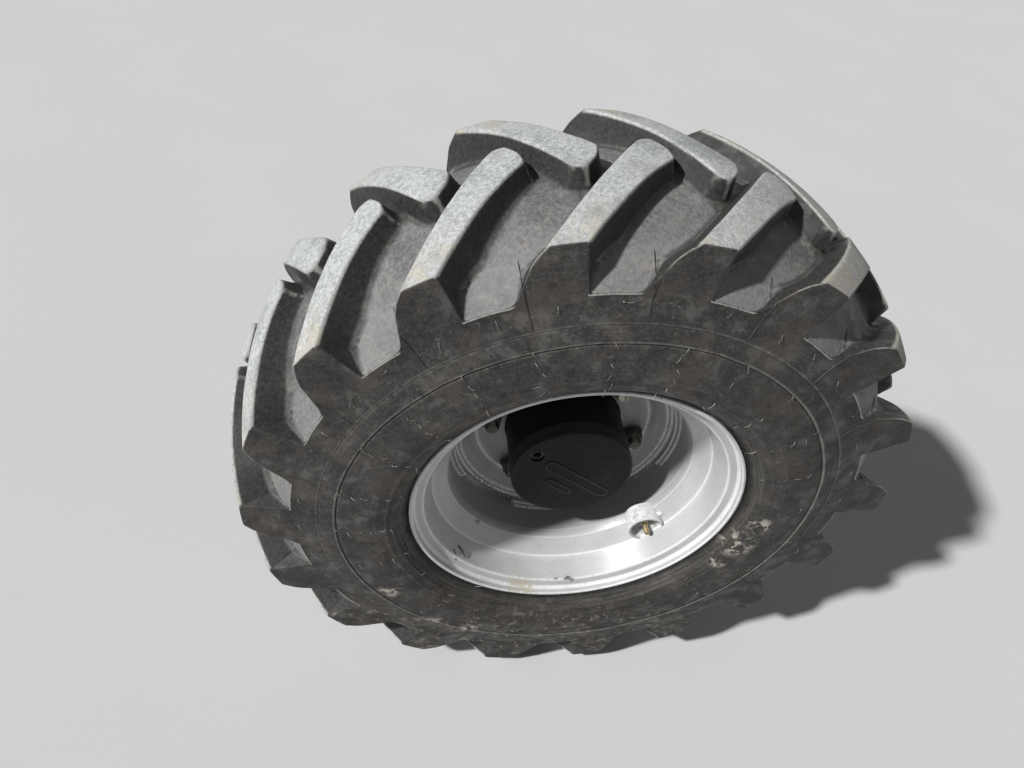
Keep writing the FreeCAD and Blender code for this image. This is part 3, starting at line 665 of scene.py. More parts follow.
def build_hairs():
    """Vent hairs: thin rods that stand on the sidewall and lean over."""
    height, radius, out_h, out_r = side_path()
    order = np.argsort(radius)
    strings = []
    for turn, place in hair_places():
        for side in (1, -1):
            if side < 0 and random.random() < INNER_HAIR_MISSES:
                continue
            base_h, lean_h, lean_r = (float(np.interp(place, radius[order], row[order]))
                                      for row in (height, out_h, out_r))
            here = Vector(wheel_point(turn, side * (base_h - HAIR_ROOT), place))
            out = (Vector(wheel_point(turn, side * (base_h + lean_h), place + lean_r))
                   - Vector(wheel_point(turn, side * base_h, place))).normalized()
            inward = Vector((-math.sin(turn), 0.0, -math.cos(turn)))
            sweep = random.gauss(0.0, 0.9)
            flat = (inward * math.cos(sweep) + out.cross(inward) * math.sin(sweep)).normalized()
            flat = (flat - out * flat.dot(out)).normalized()
            length = random.uniform(6.0, 13.0) * MM
            lift = random.uniform(0.25, 0.5)
            thick = random.uniform(0.42, 0.58) * MM
            rings = []
            for step in range(HAIR_RINGS):
                share = step / (HAIR_RINGS - 1)
                heading = (out * (1.0 - share * (1.0 - lift * 0.4)) + flat * (0.25 + share)).normalized()
                if step:
                    here = here + heading * length / (HAIR_RINGS - 1)
                if (WHEEL_Y - here.y / MM) * side > HAIR_LIMIT:
                    here.y = (WHEEL_Y - side * HAIR_LIMIT) * MM
                rings.append(circle(here, heading, thick * (1.0 - 0.65 * share), 6))
            strings.append(rings)
    return strung("vent_hairs", strings, 80)


# Turned, cut and bevelled metal pieces. Heights run outboard from the wheel's centre plane.
ARC_STEP = math.radians(14)
FINE = 0.0006


def rounded(corners, softness):
    """Closed outline with round corners. Columns: height, radius and, where a corner has its own
    rounding, that."""
    outline = []
    for index, corner in enumerate(corners):
        here = Vector(corner[:2])
        before = Vector(corners[index - 1][:2]) - here
        after = Vector(corners[(index + 1) % len(corners)][:2]) - here
        turn = math.pi - before.angle(after)
        bend = corner[2] if len(corner) > 2 else softness
        reach = min(bend * math.tan(turn / 2), 0.48 * before.length, 0.48 * after.length)
        first, last = here + before.normalized() * reach, here + after.normalized() * reach
        steps = max(1, math.ceil(turn / ARC_STEP)) if reach > 0.01 else 0
        for step in range(steps + 1):
            share = step / max(steps, 1)
            outline.append(first * (1 - share) ** 2 + here * 2 * share * (1 - share) + last * share ** 2)
    return outline


def turned(name, corners, softness=1.0, segments=96, centre=(0.0, 0.0)):
    """Piece turned about a line along the wheel axis, at a place (x, z) off it."""
    outline = rounded(corners, softness)
    angles = np.array(full_turn(segments))
    shift = np.array([centre[0], 0.0, centre[1]]) * MM
    rings = [wheel_point(angles, np.full(segments, p.x), np.full(segments, max(p.y, 0.0))) + shift
             for p in outline]
    return tidied(new_object(name, np.concatenate(rings), loop_faces(len(outline), segments)))


def tidied(thing, sharp=math.radians(32)):
    """Merge doubled points, turn all faces outwards and keep the edges crisp."""
    work = bmesh.new()
    work.from_mesh(thing.data)
    bmesh.ops.remove_doubles(work, verts=work.verts, dist=2e-6)
    bmesh.ops.dissolve_degenerate(work, edges=work.edges, dist=1e-7)
    bmesh.ops.recalc_face_normals(work, faces=work.faces)
    work.to_mesh(thing.data)
    work.free()
    thing.data.shade_smooth()
    thing.data.set_sharp_from_angle(angle=sharp)
    return thing


def prism(name, outline, low, high, centre=(0.0, 0.0), turn=0.0):
    """Straight piece with an outline of (x, z), between two heights."""
    cos, sin = math.cos(turn), math.sin(turn)
    flat = [(centre[0] + x * cos - z * sin, centre[1] + x * sin + z * cos) for x, z in outline]
    return strung(name, [[[placed(x, z, height) for x, z in flat] for height in (low, high)]])


def settle(thing):
    """Turn a piece's modifiers into its mesh."""
    shape = bpy.data.meshes.new_from_object(thing.evaluated_get(bpy.context.evaluated_depsgraph_get()))
    thing.modifiers.clear()
    thing.data = shape
    return tidied(thing)


def combine(thing, others, operation):
    """Cut other pieces out of one, or join them to it, and use them up."""
    for other in others:
        step = thing.modifiers.new(operation, "BOOLEAN")
        step.operation = operation
        step.solver = "EXACT"
        step.object = other
    settle(thing)
    for other in others:
        bpy.data.objects.remove(other)
    return thing


def bevelled(thing, width=FINE, segments=2):
    """Round a piece's sharp edges a little."""
    step = thing.modifiers.new("edges", "BEVEL")
    step.width = width
    step.segments = segments
    step.limit_method = "ANGLE"
    step.angle_limit = math.radians(35)
    return settle(thing)


def poured(name, work):
    """New object from a bmesh, which is used up."""
    mesh = bpy.data.meshes.new(name)
    work.to_mesh(mesh)
    work.free()
    return linked(name, mesh)


def joined(name, things):
    """One object from several."""
    work = bmesh.new()
    for thing in things:
        work.from_mesh(thing.data)
        bpy.data.objects.remove(thing)
    return tidied(poured(name, work))


def round_outline(radius, count=32):
    """Circle as an outline of (x, z)."""
    return [(radius * math.cos(turn), radius * math.sin(turn)) for turn in full_turn(count)]


WELL_RADIUS = 158.0
BARREL_INSIDE = [(122.2, 206.8, 2.4), (111.4, 206.8, 5.0), (108.3, 193.2, 5.0), (75.0, 182.0, 7.0),
                 (57.0, 161.8, 8.0), (46.2, 158.0, 12.0)]
BARREL_OUTSIDE = [(122.2, 211.8, 2.4), (106.7, 211.8, 5.0), (103.3, 198.2, 3.0), (73.0, 187.0, 5.0),
                  (55.0, 166.8, 9.0), (46.2, 163.0, 13.0)]


def build_barrel():
    """Drop-centre barrel with soft rolled bends, the same on both sides of its middle."""
    inside, outside = ([(-height, radius, bend) for height, radius, bend in reversed(rows)]
                       for rows in (BARREL_INSIDE, BARREL_OUTSIDE))
    return turned("barrel_steel", BARREL_INSIDE + inside + outside[::-1] + BARREL_OUTSIDE[::-1],
                  segments=176)


CHORD_DISTANCE = 149.6
CHORD_ANGLES = (51.0, 141.0, 231.0, 321.0)
LAND_GAP = 18.8
LAND_INSIDE = 149.8
DISC_FACE = -20.0
RING_FACE = -4.0
STUD_ANGLES = tuple(52.3 + 60.0 * k for k in range(6))
STUD_CIRCLE = 102.5
STUD_HOLE = 10.0
THROUGH = (-60.0, 40.0)


def build_disc():
    """Dished disc with straight cuts, turned edge and stud holes."""
    disc = turned("disc_steel", [
        (DISC_FACE, 80.6, 0.6), (DISC_FACE, 90.0, 0.0), (DISC_FACE, 120.0, 9.0), (RING_FACE, 142.0, 9.0),
        (RING_FACE, LAND_INSIDE, 5.0), (8.0, LAND_INSIDE, 2.5), (8.0, 157.8, 1.5), (-12.0, 157.8, 1.0),
        (-12.0, 144.7, 9.0), (-28.0, 122.7, 12.0), (-28.0, 80.6, 0.6)], segments=144)
    edge = [(CHORD_DISTANCE, -79.0), (170.0, -79.0), (170.0, 79.0), (CHORD_DISTANCE, 79.0)]
    sweep = np.linspace(-LAND_GAP, LAND_GAP, 13)
    arc = [ring_place(LAND_INSIDE, a) for a in sweep] + [ring_place(172.0, a) for a in sweep[::-1]]
    cutters = []
    for angle in CHORD_ANGLES:
        cutters.append(prism("cut", edge, *THROUGH, turn=math.radians(angle)))
        cutters.append(prism("cut", arc, RING_FACE + 0.4, THROUGH[1], turn=math.radians(angle)))
    for angle in STUD_ANGLES:
        cutters.append(prism("cut", round_outline(STUD_HOLE), *THROUGH, ring_place(STUD_CIRCLE, angle)))
    return bevelled(combine(disc, cutters, "DIFFERENCE"))


def build_welds():
    """Beads between the disc's turned edges and the barrel, with their ripples."""
    strings = []
    for middle in CHORD_ANGLES:
        sweep = np.arange(middle + LAND_GAP + 1.5, middle + 90.0 - LAND_GAP - 1.5, 0.55)
        rings = []
        for step, degrees in enumerate(sweep):
            ripple = 3.0 + 0.45 * math.sin(step * 1.7) + random.uniform(-0.25, 0.25)
            rings.append([placed(*ring_place(WELL_RADIUS - 0.6 + ripple * 0.75 * math.cos(turn), degrees),
                                 8.2 + ripple * math.sin(turn)) for turn in full_turn(8)])
        strings.append(rings)
    return strung("land_welds", strings, 80)


NUT_FLATS = 24.0
NUT_FOOT = 2.6
NUT_HEIGHT = 16.0
NUT_BORE = 9.2
CHAMFER_RADIUS = 11.3


def build_nuts():
    """Wheel nuts with turned chamfers, each on a coned washer."""
    turns = full_turn(48)
    reach = [NUT_FLATS / 2 / math.cos((turn + math.pi / 6) % (math.pi / 3) - math.pi / 6) for turn in turns]
    rings = [[(NUT_BORE, NUT_FOOT)] * len(turns),
             [(radius, NUT_FOOT) for radius in reach],
             [(radius, NUT_HEIGHT - 0.4 - max(0.0, radius - 11.6) * 0.62) for radius in reach],
             [(CHAMFER_RADIUS, NUT_HEIGHT)] * len(turns),
             [(NUT_BORE, NUT_HEIGHT)] * len(turns)]
    washer = [(0.05, 9.4), (0.05, 15.0), (1.6, 15.0), (2.5, 13.0), (2.5, 9.4)]
    parts = []
    for angle in STUD_ANGLES:
        x, z = ring_place(STUD_CIRCLE, angle)
        spin = random.uniform(0.0, math.pi)
        points = [placed(x + radius * math.cos(turn + spin), z + radius * math.sin(turn + spin),
                         DISC_FACE + height)
                  for ring in rings for turn, (radius, height) in zip(turns, ring)]
        parts.append(tidied(new_object("nut", points, loop_faces(len(rings), len(turns)))))
        parts.append(turned("washer", [(DISC_FACE + height, radius) for height, radius in washer], 0.4, 40,
                            (x, z)))
    return joined("nuts_steel", parts)


def build_studs():
    """Studs with rolled threads and a turned tip."""
    parts = []
    for angle in STUD_ANGLES:
        rows = [(-37.6, 0.0, 0.0), (-37.6, 9.0, 0.5), (DISC_FACE + 1.0, 9.0, 0.0)]
        height = DISC_FACE + 2.0
        while height < 3.6:
            rows += [(height, 8.0, 0.15), (height + 0.75, 8.95, 0.15)]
            height += 1.5
        rows += [(4.4, 8.0, 0.2), (5.6, 7.4, 0.4), (5.6, 4.0, 0.3), (5.0, 2.4, 0.3), (5.0, 0.0, 0.0)]
        parts.append(turned("stud", rows, 0.2, 28, ring_place(STUD_CIRCLE, angle)))
    return joined("studs_steel", parts)


COVER_FACE = 67.6
COVER_RINGS = (0.0, 30.0, 48.0, 51.0, 54.0, 58.0, 62.0, 66.0, 70.0, 73.0, 76.0)
PLUG_PLACE = ring_place(62.0, 146.0)
PAD_DIRECTION = math.radians(-35.0)
# Plain pads: middle along and across their direction, half length of the straight part, half width.
PADS = [((13.0, -3.5), 47.5, 8.3), ((3.5, -29.0), 16.5, 5.6)]
# A pad's border, from its foot inwards. Columns: distance from the outline and height over the cover.
PAD_BORDER = [(0.0, -0.6), (0.0, 1.0), (0.5, 1.45), (1.6, 1.45), (2.2, 0.85)]


def build_cover():
    """Hub cover with its worn edge, sunk plug hole and plain bordered pads."""
    face = [(COVER_FACE, radius, 0.0) for radius in COVER_RINGS]
    cover = turned("cover_steel", face + [
        (COVER_FACE, 78.2, 0.8), (66.0, 80.0, 0.8), (57.2, 80.0, 0.4), (56.4, 79.2, 0.3), (55.7, 79.2, 0.0),
        (55.7, 0.0, 0.0)], 0.6, 128)
    hole = turned("cut", [(90.0, 0.0, 0.0), (90.0, 9.9, 0.0), (COVER_FACE - 0.7, 9.2, 0.3),
                          (50.0, 9.2, 0.0), (50.0, 0.0, 0.0)], 0.3, 40, PLUG_PLACE)
    combine(cover, [hole], "DIFFERENCE")
    boss = turned("boss", [(COVER_FACE - 0.5, 9.9), (COVER_FACE + 0.7, 10.3), (COVER_FACE + 0.7, 13.2),
                           (COVER_FACE - 0.5, 14.4)], 0.3, 40, PLUG_PLACE)
    return joined("cover_steel", [cover, boss] + [pad_plate(*pad) for pad in PADS])


def pad_plate(place, length, half):
    """Raised pad with round ends and a thin border, otherwise plain."""
    cos, sin = math.cos(PAD_DIRECTION), math.sin(PAD_DIRECTION)
    rings = []
    for inset, rise in PAD_BORDER + [(half - 0.3, PAD_BORDER[-1][1])]:
        ring = []
        for end in (1, -1):
            for turn in np.linspace(-math.pi / 2, math.pi / 2, 17):
                x = place[0] + end * (length + (half - inset) * math.cos(turn))
                z = place[1] + end * (half - inset) * math.sin(turn)
                ring.append(placed(x * cos - z * sin, x * sin + z * cos, COVER_FACE + rise))
        rings.append(ring)
    return strung("pad", [rings])


def build_plug():
    """Filler plug with a hexagon socket."""
    plug = turned("plug_steel", [(64.4, 0.0, 0.0), (64.4, 8.2, 0.4), (63.6, 9.0, 0.3), (55.8, 9.0, 0.2),
                                 (55.8, 0.0, 0.0)], 0.3, 40, PLUG_PLACE)
    socket = prism("cut", round_outline(6.6, 6), 57.0, 80.0, PLUG_PLACE)
    return bevelled(combine(plug, [socket], "DIFFERENCE"), 0.0003)


VALVE_PLACE = ring_place(169.0, 319.0)
GUARD_MOUTH = 78.2
WELD_SPOT = (144.9, -90.4, 65.4)


def build_guard():
    """Valve guard: a short tube, cut to the barrel's slope and welded on."""
    guard = turned("guard_steel", [(GUARD_MOUTH, 21.5, 0.8), (GUARD_MOUTH, 25.0, 0.8), (50.0, 25.0, 0.0),
                                   (50.0, 21.5, 0.0)], 0.8, 56, VALVE_PLACE)
    near = [(height, radius - 0.2, 0.0) for height, radius, _ in BARREL_INSIDE[1:]]
    outside = turned("cut", near + [(0.0, 157.8, 0.0), (0.0, 260.0, 0.0), (111.4, 260.0, 0.0)], 0.0, 176)
    return joined("guard_steel", [combine(guard, [outside], "DIFFERENCE"), weld_spot()])


def weld_spot():
    """Lump of weld where the guard meets the barrel."""
    work = bmesh.new()
    bmesh.ops.create_icosphere(work, subdivisions=3, radius=1.0)
    for point in work.verts:
        ripple = 1.0 + 0.12 * noise.noise(point.co * 1.7)
        point.co = point.co * Vector((4.6, 3.6, 4.0)) * ripple * MM
        point.co += Vector((WELD_SPOT[0], WHEEL_Y - WELD_SPOT[2], WELD_SPOT[1])) * MM
    return poured("weld", work)


def build_stem():
    """Valve: rubber foot, brass stem with a short thread and a core in its end."""
    rows = [(54.3, 0.0, 0.0), (54.3, 8.0, 0.3), (62.0, 8.0, 1.5), (68.0, 5.4, 1.5), (68.2, 4.0, 0.3)]
    height = 71.0
    while height < 83.0:
        rows += [(height, 3.95, 0.1), (height + 0.5, 3.4, 0.1)]
        height += 1.0
    rows += [(83.6, 3.4, 0.1), (84.2, 3.9, 0.2), (85.0, 3.4, 0.2), (85.0, 2.2, 0.2), (82.0, 2.0, 0.1),
             (82.0, 0.0, 0.0)]
    return turned("stem_brass", rows, 0.2, 28, VALVE_PLACE)


# Columns: height, radius and depth of the splines.
SHAFT = [(-52.1, 4.0, 0.0), (-52.1, 15.0, 0.0), (-53.1, 16.0, 0.0), (-250.0, 16.0, 0.0),
         (-284.0, 16.0, 0.0),
         (-286.5, 16.0, 0.5), (-289.0, 16.0, 1.0), (-356.0, 16.0, 1.0), (-358.0, 14.4, 1.0),
         (-358.0, 4.0, 0.0), (-356.0, 2.0, 0.0), (-352.0, 0.0, 0.0)]
SPLINES = 16


def build_shaft():
    """Half shaft with cut splines at its outer end and centre drillings."""
    turn = np.array(full_turn(160))
    cut = 1.1 - 1.1 * np.clip(np.cos(turn * SPLINES) * 2.4, -1.0, 1.0)
    return strung("shaft_steel", [[
        wheel_point(turn, np.full(len(turn), height), np.maximum(radius - cut * depth, 0.0))
        for height, radius, depth in SHAFT]])


# Rib between the arm's tube and its flange. Columns: height and radius.
RIB = [(-208.0, 56.0), (-283.0, 56.0), (-283.0, 102.0), (-278.0, 102.0)]
RIB_HALF = 6.0


def build_arm():
    """Cast arm with soft corners, ribs and a drilled flange."""
    arm = turned("arm_casting", [
        (-52.0, 24.0, 1.0), (-52.0, 44.9, 1.5), (-115.0, 44.9, 2.0), (-115.0, 88.0, 2.0),
        (-131.0, 88.0, 5.0),
        (-131.0, 56.0, 10.0), (-278.0, 70.0, 6.0), (-278.0, 80.0, 0.0), (-278.0, 100.0, 0.0),
        (-278.0, 108.0, 2.5), (-298.0, 108.0, 1.0), (-298.0, 104.0, 0.0), (-298.0, 99.0, 0.0),
        (-298.0, 81.0, 0.0), (-298.0, 76.0, 0.0), (-298.0, 36.0, 0.0), (-298.0, 32.0, 0.6),
        (-286.0, 32.0, 0.6), (-286.0, 24.0, 0.6)], 1.0, 96)
    ribs = []
    for turn in full_turn(4):
        rings = [[placed(across * math.cos(turn) + radius * math.sin(turn),
                         radius * math.cos(turn) - across * math.sin(turn), height)
                  for height, radius in RIB] for across in (-RIB_HALF, RIB_HALF)]
        ribs.append(bevelled(strung("rib", [rings]), 0.002))
    combine(arm, ribs, "UNION")
    holes = [prism("cut", round_outline(7.0, 28), -310.0, -270.0, ring_place(90.0, 22.5 + 45.0 * k))
             for k in range(8)]
    return bevelled(combine(arm, holes, "DIFFERENCE"), 0.0007)


# Plain turned pieces, by the node that they stand for: name, corners (height, radius, rounding),
# rounding of the other corners and points round the axis.
TURNED = {
    "planet_housing": ("housing_steel", [
        (55.5, 0.0, 0.0), (55.5, 79.4, 0.4), (54.6, 80.0, 0.4), (47.0, 80.0, 0.4), (46.2, 79.3, 0.3),
        (-27.9, 79.3, 0.3), (-27.9, 0.0, 0.0)], 0.4, 128),
    "hub_drum": ("drum_steel", [
        (-28.05, 0.0, 0.0), (-28.05, 124.0, 1.0), (-46.0, 124.0, 1.5), (-46.0, 112.0, 4.0),
        (-92.0, 112.0, 8.0), (-110.0, 94.0, 4.0), (-110.0, 45.1, 1.0), (-47.0, 45.1, 1.0),
        (-47.0, 0.0, 0.0)], 1.0, 112),
    "spindle_seal": ("spindle_seal_rubber", [
        (-110.2, 45.25, 0.2), (-110.2, 59.0, 0.5), (-111.2, 59.9, 0.4), (-114.0, 59.9, 0.4),
        (-114.8, 59.0, 0.3), (-114.8, 55.0, 0.8), (-113.2, 53.0, 0.8), (-113.2, 50.0, 0.8),
        (-114.8, 48.0, 0.6),
        (-114.8, 45.25, 0.2)], 0.3, 96),
    "shaft_seal": ("shaft_seal_rubber", [
        (-286.1, 22.0, 0.3), (-286.1, 31.9, 0.4), (-297.5, 31.9, 0.7), (-297.5, 29.0, 0.5),
        (-296.4, 27.8, 0.5), (-296.4, 20.5, 1.0), (-294.2, 17.4, 0.6), (-292.4, 16.1, 0.2),
        (-290.2, 17.4, 0.4),
        (-290.2, 21.0, 0.8)], 0.3, 72),
    "shaft_bush": ("bush_bronze", [
        (-52.1, 17.0, 0.1), (-52.1, 23.2, 0.2), (-52.9, 23.95, 0.2), (-71.1, 23.95, 0.2),
        (-71.9, 23.2, 0.2), (-71.9, 17.0, 0.1), (-71.0, 16.06, 0.2), (-53.0, 16.06, 0.2)], 0.2, 64),
}


def fill(tree, node, inputs):
    """Link a node's inputs to outputs of other nodes, or give them numbers or colours."""
    for name, value in inputs.items():
        socket = node.inputs[name]
        if isinstance(value, bpy.types.NodeSocket):
            tree.links.new(value, socket)
        elif socket.type == "RGBA":
            socket.default_value = (*value, 1.0)
        else:
            socket.default_value = value


def add_node(tree, kind, inputs, **settings):
    """New node with some of its inputs and settings."""
    made = tree.nodes.new(kind)
    for key, value in settings.items():
        setattr(made, key, value)
    fill(tree, made, inputs)
    return made.outputs


class Shader:
    """Node tree of one material, with a short call for each kind of node used here."""

    def __init__(self, name, roughness=0.6, metallic=0.0, specular=0.5):
        self.material = bpy.data.materials.new(name)
        self.material.use_nodes = True
        self.tree = self.material.node_tree
        self.result = {"Roughness": roughness, "Metallic": metallic, "Specular IOR Level": specular}
        self.place = self.node("ShaderNodeTexCoord", {})["Object"]
        parts = self.node("ShaderNodeSeparateXYZ", {"Vector": self.place})
        self.x, self.z = parts["X"], parts["Z"]

    def node(self, kind, inputs, **settings):
        """Outputs of a new node."""
        return add_node(self.tree, kind, inputs, **settings)

    def cloud(self, place, scale, detail, rough, warp=0.0):
        """Cloudy pattern, from 0 to 1."""
        return self.node("ShaderNodeTexNoise", {"Vector": place, "Scale": scale, "Detail": detail,
                                                "Roughness": rough, "Distortion": warp})["Fac"]

    def noise(self, size, detail, rough, offset=0.0, stretch=(1.0, 1.0, 1.0), warp=0.0):
        """Cloudy pattern whose features are about size metres across."""
        place = self.place
        if offset:
            place = self.node("ShaderNodeMapping", {
                "Vector": place, "Location": (offset, offset * 0.7, offset * 1.3), "Scale": stretch})
            place = place["Vector"]
        return self.cloud(place, 1.0 / size, detail, rough, warp)

    def ringed(self, radial, around, detail, rough, offset=0.0):
        """Cloudy pattern drawn out along circles round the wheel axis. Sizes in metres."""
        radius = self.from_axis()
        x, z = (self.math("MULTIPLY_ADD", self.math("DIVIDE", part, radius), 0.3 / around, offset)
                for part in (self.x, self.z))
        outward = self.math("DIVIDE", radius, radial)
        place = self.node("ShaderNodeCombineXYZ", {"X": x, "Y": outward, "Z": z})
        return self.cloud(place["Vector"], 1.0, detail, rough)

    def math(self, operation, *numbers):
        """One number worked out from others."""
        return self.node("ShaderNodeMath", dict(enumerate(numbers)), operation=operation)["Value"]

    def times(self, first, *others):
        """Product of numbers."""
        for other in others:
            first = self.math("MULTIPLY", first, other)
        return first

    def span(self, value, low, high, to_low=0.0, to_high=1.0, smooth=True):
        """Value rescaled from one span to another, held at its ends."""
        return self.node("ShaderNodeMapRange", {"Value": value, "From Min": low, "From Max": high,
                                                "To Min": to_low, "To Max": to_high},
                         interpolation_type="SMOOTHSTEP" if smooth else "LINEAR")["Result"]

    def mix(self, share, a, b):
        """Colour between two colours."""
        return self.node("ShaderNodeMix", {0: share, 6: a, 7: b}, data_type="RGBA")[2]

    def coats(self, colour, *layers):
        """Colour with others over it, one by one. A layer has its share, or else a value, the span in
        which it sets in and its full share, and then its colour."""
        for layer in layers:
            share = layer[0] if len(layer) == 2 else self.span(*layer[:3], 0.0, layer[3])
            colour = self.mix(share, colour, layer[-1])
        return colour

    def attribute(self, name):
        """Number kept on the mesh."""
        return self.node("ShaderNodeAttribute", {}, attribute_name=name)["Fac"]

    def from_axis(self):
        """Distance from the wheel axis, in metres."""
        square = self.math("MULTIPLY", self.x, self.x)
        return self.math("SQRT", self.math("MULTIPLY_ADD", self.z, self.z, square))

    def away(self, centre):
        """Distance from a place, in metres."""
        return self.node("ShaderNodeVectorMath", {0: self.place, 1: centre}, operation="DISTANCE")["Value"]

    def bump(self, *layers):
        """Fine relief: a height, its size in metres and its strength for each layer."""
        for height, distance, strength in layers:
            below = {"Normal": self.result["Normal"]} if "Normal" in self.result else {}
            self.result["Normal"] = self.node("ShaderNodeBump", {
                "Strength": strength, "Distance": distance, "Height": height, **below})["Normal"]

    def finish(self, colour, roughness=None, metallic=None):
        """Join the worked-out colour, roughness and relief to the shader."""
        for name, value in (("Base Color", colour), ("Roughness", roughness), ("Metallic", metallic)):
            if value is not None:
                self.result[name] = value
        fill(self.tree, self.tree.nodes["Principled BSDF"], self.result)
        return self.material


# Scuffed places on the sidewall: centre in the frame and reach, in metres.
SCUFFS = [((0.225, -0.438, -0.058), 0.032), ((0.243, -0.438, -0.012), 0.022),
          ((0.212, -0.438, -0.098), 0.018), ((-0.23, -0.440, -0.165), 0.02),
          ((-0.165, -0.437, -0.250), 0.014),
          ((-0.110, -0.437, -0.275), 0.020), ((-0.050, -0.437, -0.291), 0.018)]


def tyre_material():
    """Worn black rubber: pale scuffed lug tops with a painted sheen tint, dusty valleys, dark flanks and a
    stained sidewall, with a painted highlight along the valleys' lips and painted shade in hollow bends and
    beside the rim.
    """
    shader = Shader("tyre_rubber", specular=0.28)
    span, times, mix = shader.span, shader.times, shader.mix
    rise, field, across, bend = map(shader.attribute, ("lug_rise", "lug_field", "across", "bend"))
    blotch = shader.noise(0.06, 5.0, 0.6)
    patch = shader.noise(0.025, 5.0, 0.65, 2.7)
    grain = shader.noise(0.0045, 5.0, 0.75, 0.3)
    speck = shader.noise(0.0016, 2.0, 0.6, 0.7)
    scratch = shader.noise(0.004, 5.0, 0.7, 4.1, (1.0, 0.16, 0.45))
    streak = shader.noise(0.0035, 4.0, 0.7, 8.4, (0.22, 1.0, 0.6))
    chips = shader.noise(0.016, 6.0, 0.72, 6.3, warp=0.4)
    rings = shader.ringed(0.0022, 0.09, 4.0, 0.65)
    tone = shader.math("MULTIPLY_ADD", grain, 0.6, times(blotch, 0.4))
    radius = shader.from_axis()
    ahead = span(shader.x, 0.05, 0.33)

    # Pale dust and scuffs on the lug tops; their neutral bluish tint is a painted sheen.
    top = shader.coats(
        mix(span(tone, 0.36, 0.62), (0.280, 0.290, 0.297), (0.600, 0.610, 0.608)),
        (times(span(across, 0.45, 0.95), span(patch, 0.42, 0.62), 0.65), (0.50, 0.450, 0.345)),
        (speck, 0.52, 0.70, 0.55, (0.120, 0.120, 0.117)),
        (blotch, 0.52, 0.70, 0.50, (0.150, 0.152, 0.150)),
        (times(ahead, span(patch, 0.36, 0.56, 0.1, 0.7)), (0.34, 0.305, 0.235)))
    floor = shader.coats(
        mix(span(tone, 0.38, 0.62), (0.100, 0.100, 0.099), (0.225, 0.224, 0.220)),
        (times(span(patch, 0.54, 0.66), span(grain, 0.44, 0.60), 0.8), (0.30, 0.255, 0.190)),
        (scratch, 0.60, 0.68, 0.5, (0.30, 0.285, 0.26)),
        (across, 0.35, 1.1, 0.35, (0.27, 0.272, 0.27)))
    flank = mix(span(grain, 0.35, 0.7), (0.022, 0.0215, 0.020), (0.056, 0.054, 0.050))
    side = shader.coats(
        mix(span(tone, 0.38, 0.62), (0.026, 0.024, 0.022), (0.064, 0.061, 0.057)),
        (blotch, 0.50, 0.62, 0.65, (0.072, 0.057, 0.046)),
        (patch, 0.53, 0.66, 0.6, (0.115, 0.112, 0.106)),
        (patch, 0.46, 0.34, 0.75, (0.020, 0.020, 0.021)),
        (scratch, 0.65, 0.70, 0.5, (0.20, 0.193, 0.18)),
        (streak, 0.64, 0.69, 0.45, (0.17, 0.165, 0.155)),
        (times(span(radius, 0.212, 0.245, 1.0, 0.0), span(rings, 0.44, 0.60, 0.0, 0.8)),
         (0.125, 0.115, 0.100)),
        (times(span(rings, 0.54, 0.66, 0.0, 0.45), span(patch, 0.40, 0.60)), (0.115, 0.107, 0.096)),
        # Darker towards the bottom and towards the front.
        (times(span(shader.z, -0.26, -0.02, 1.0, 0.0), 0.45), (0.022, 0.018, 0.015)),
        (times(ahead, 0.35), (0.020, 0.020, 0.019)),
        (speck, 0.63, 0.70, 0.55, (0.22, 0.215, 0.20)),
        # Painted shade: the bead beside the rim's lip darkened to near black, as in the gap between tyre
        # and rim.
        (radius, 0.2215, 0.2150, 0.88, (0.006, 0.006, 0.006)),
        (times(span(shader.z, -0.205, -0.255), span(chips, 0.56, 0.60, 0.0, 0.6)), (0.26, 0.235, 0.195)),
        *[(times(span(shader.away(centre), reach, reach * 0.3), span(chips, 0.50, 0.55, 0.0, 0.85)),
           (0.44, 0.395, 0.34)) for centre, reach in SCUFFS])

    is_top = times(span(field, -0.02, 0.12, 1.0, 0.0), span(across, 0.985, 1.012, 1.0, 0.0))
    end_face = times(span(across, 0.99, 1.01), span(rise, 0.85, 0.97))
    rubbed = times(span(bend, 0.07, 0.22), span(grain, 0.34, 0.52, 0.35, 1.0), 0.85)
    # Painted highlight: a pale line along the lip where the valley floor meets the sidewall.
    lip = LIP_AT / SHOULDER_AT
    painted_lip_highlight = times(span(across, lip - 0.022, lip - 0.010), span(across, lip + 0.006, lip - 0.002),
                   span(field, -0.9, -0.3), span(grain, 0.32, 0.55, 0.4, 1.0), 0.85)
    colour = shader.coats(
        flank, (span(rise, 0.02, 0.22, 1.0, 0.0), floor), (is_top, top), (end_face, side),
        (across, 1.9, 2.4, 1.0, side), (rubbed, (0.34, 0.335, 0.315)), (painted_lip_highlight, (0.40, 0.39, 0.365)),
        # Painted shade: hollow bends darkened to near black.
        (times(span(bend, -0.05, -0.20), 0.75), (0.016, 0.014, 0.012)))
    shader.bump((blotch, 0.0010, 0.5), (grain, 0.0009, 0.6), (scratch, 0.0005, 0.4), (rings, 0.0005, 0.4),
                (speck, 0.0003, 0.6))
    rough = shader.math("MULTIPLY_ADD", span(patch, 0.42, 0.62), -0.22,
                        span(tone, 0.3, 0.7, 0.50, 0.85, smooth=False))
    return shader.finish(colour, shader.math("MAXIMUM", rough, times(is_top, 0.85)))


def rubber_material(name, dark, pale, specular, sizes, reach, relief, roughness):
    """Rubber between two colours, with fine relief."""
    shader = Shader(name, specular=specular)
    cloud = shader.noise(sizes[0], 4.0, 0.6)
    fine = shader.noise(sizes[1], 3.0, 0.6, 0.5)
    shader.bump((fine, *relief))
    return shader.finish(shader.mix(shader.span(cloud, 0.35, reach), dark, pale),
                         shader.span(fine, 0.3, 0.7, *roughness, smooth=False))


def on_barrel(degrees, radius, height):
    """Place in the frame, in metres, from an angle round the wheel axis, a radius and a height."""
    return placed(*ring_place(radius, degrees), height)
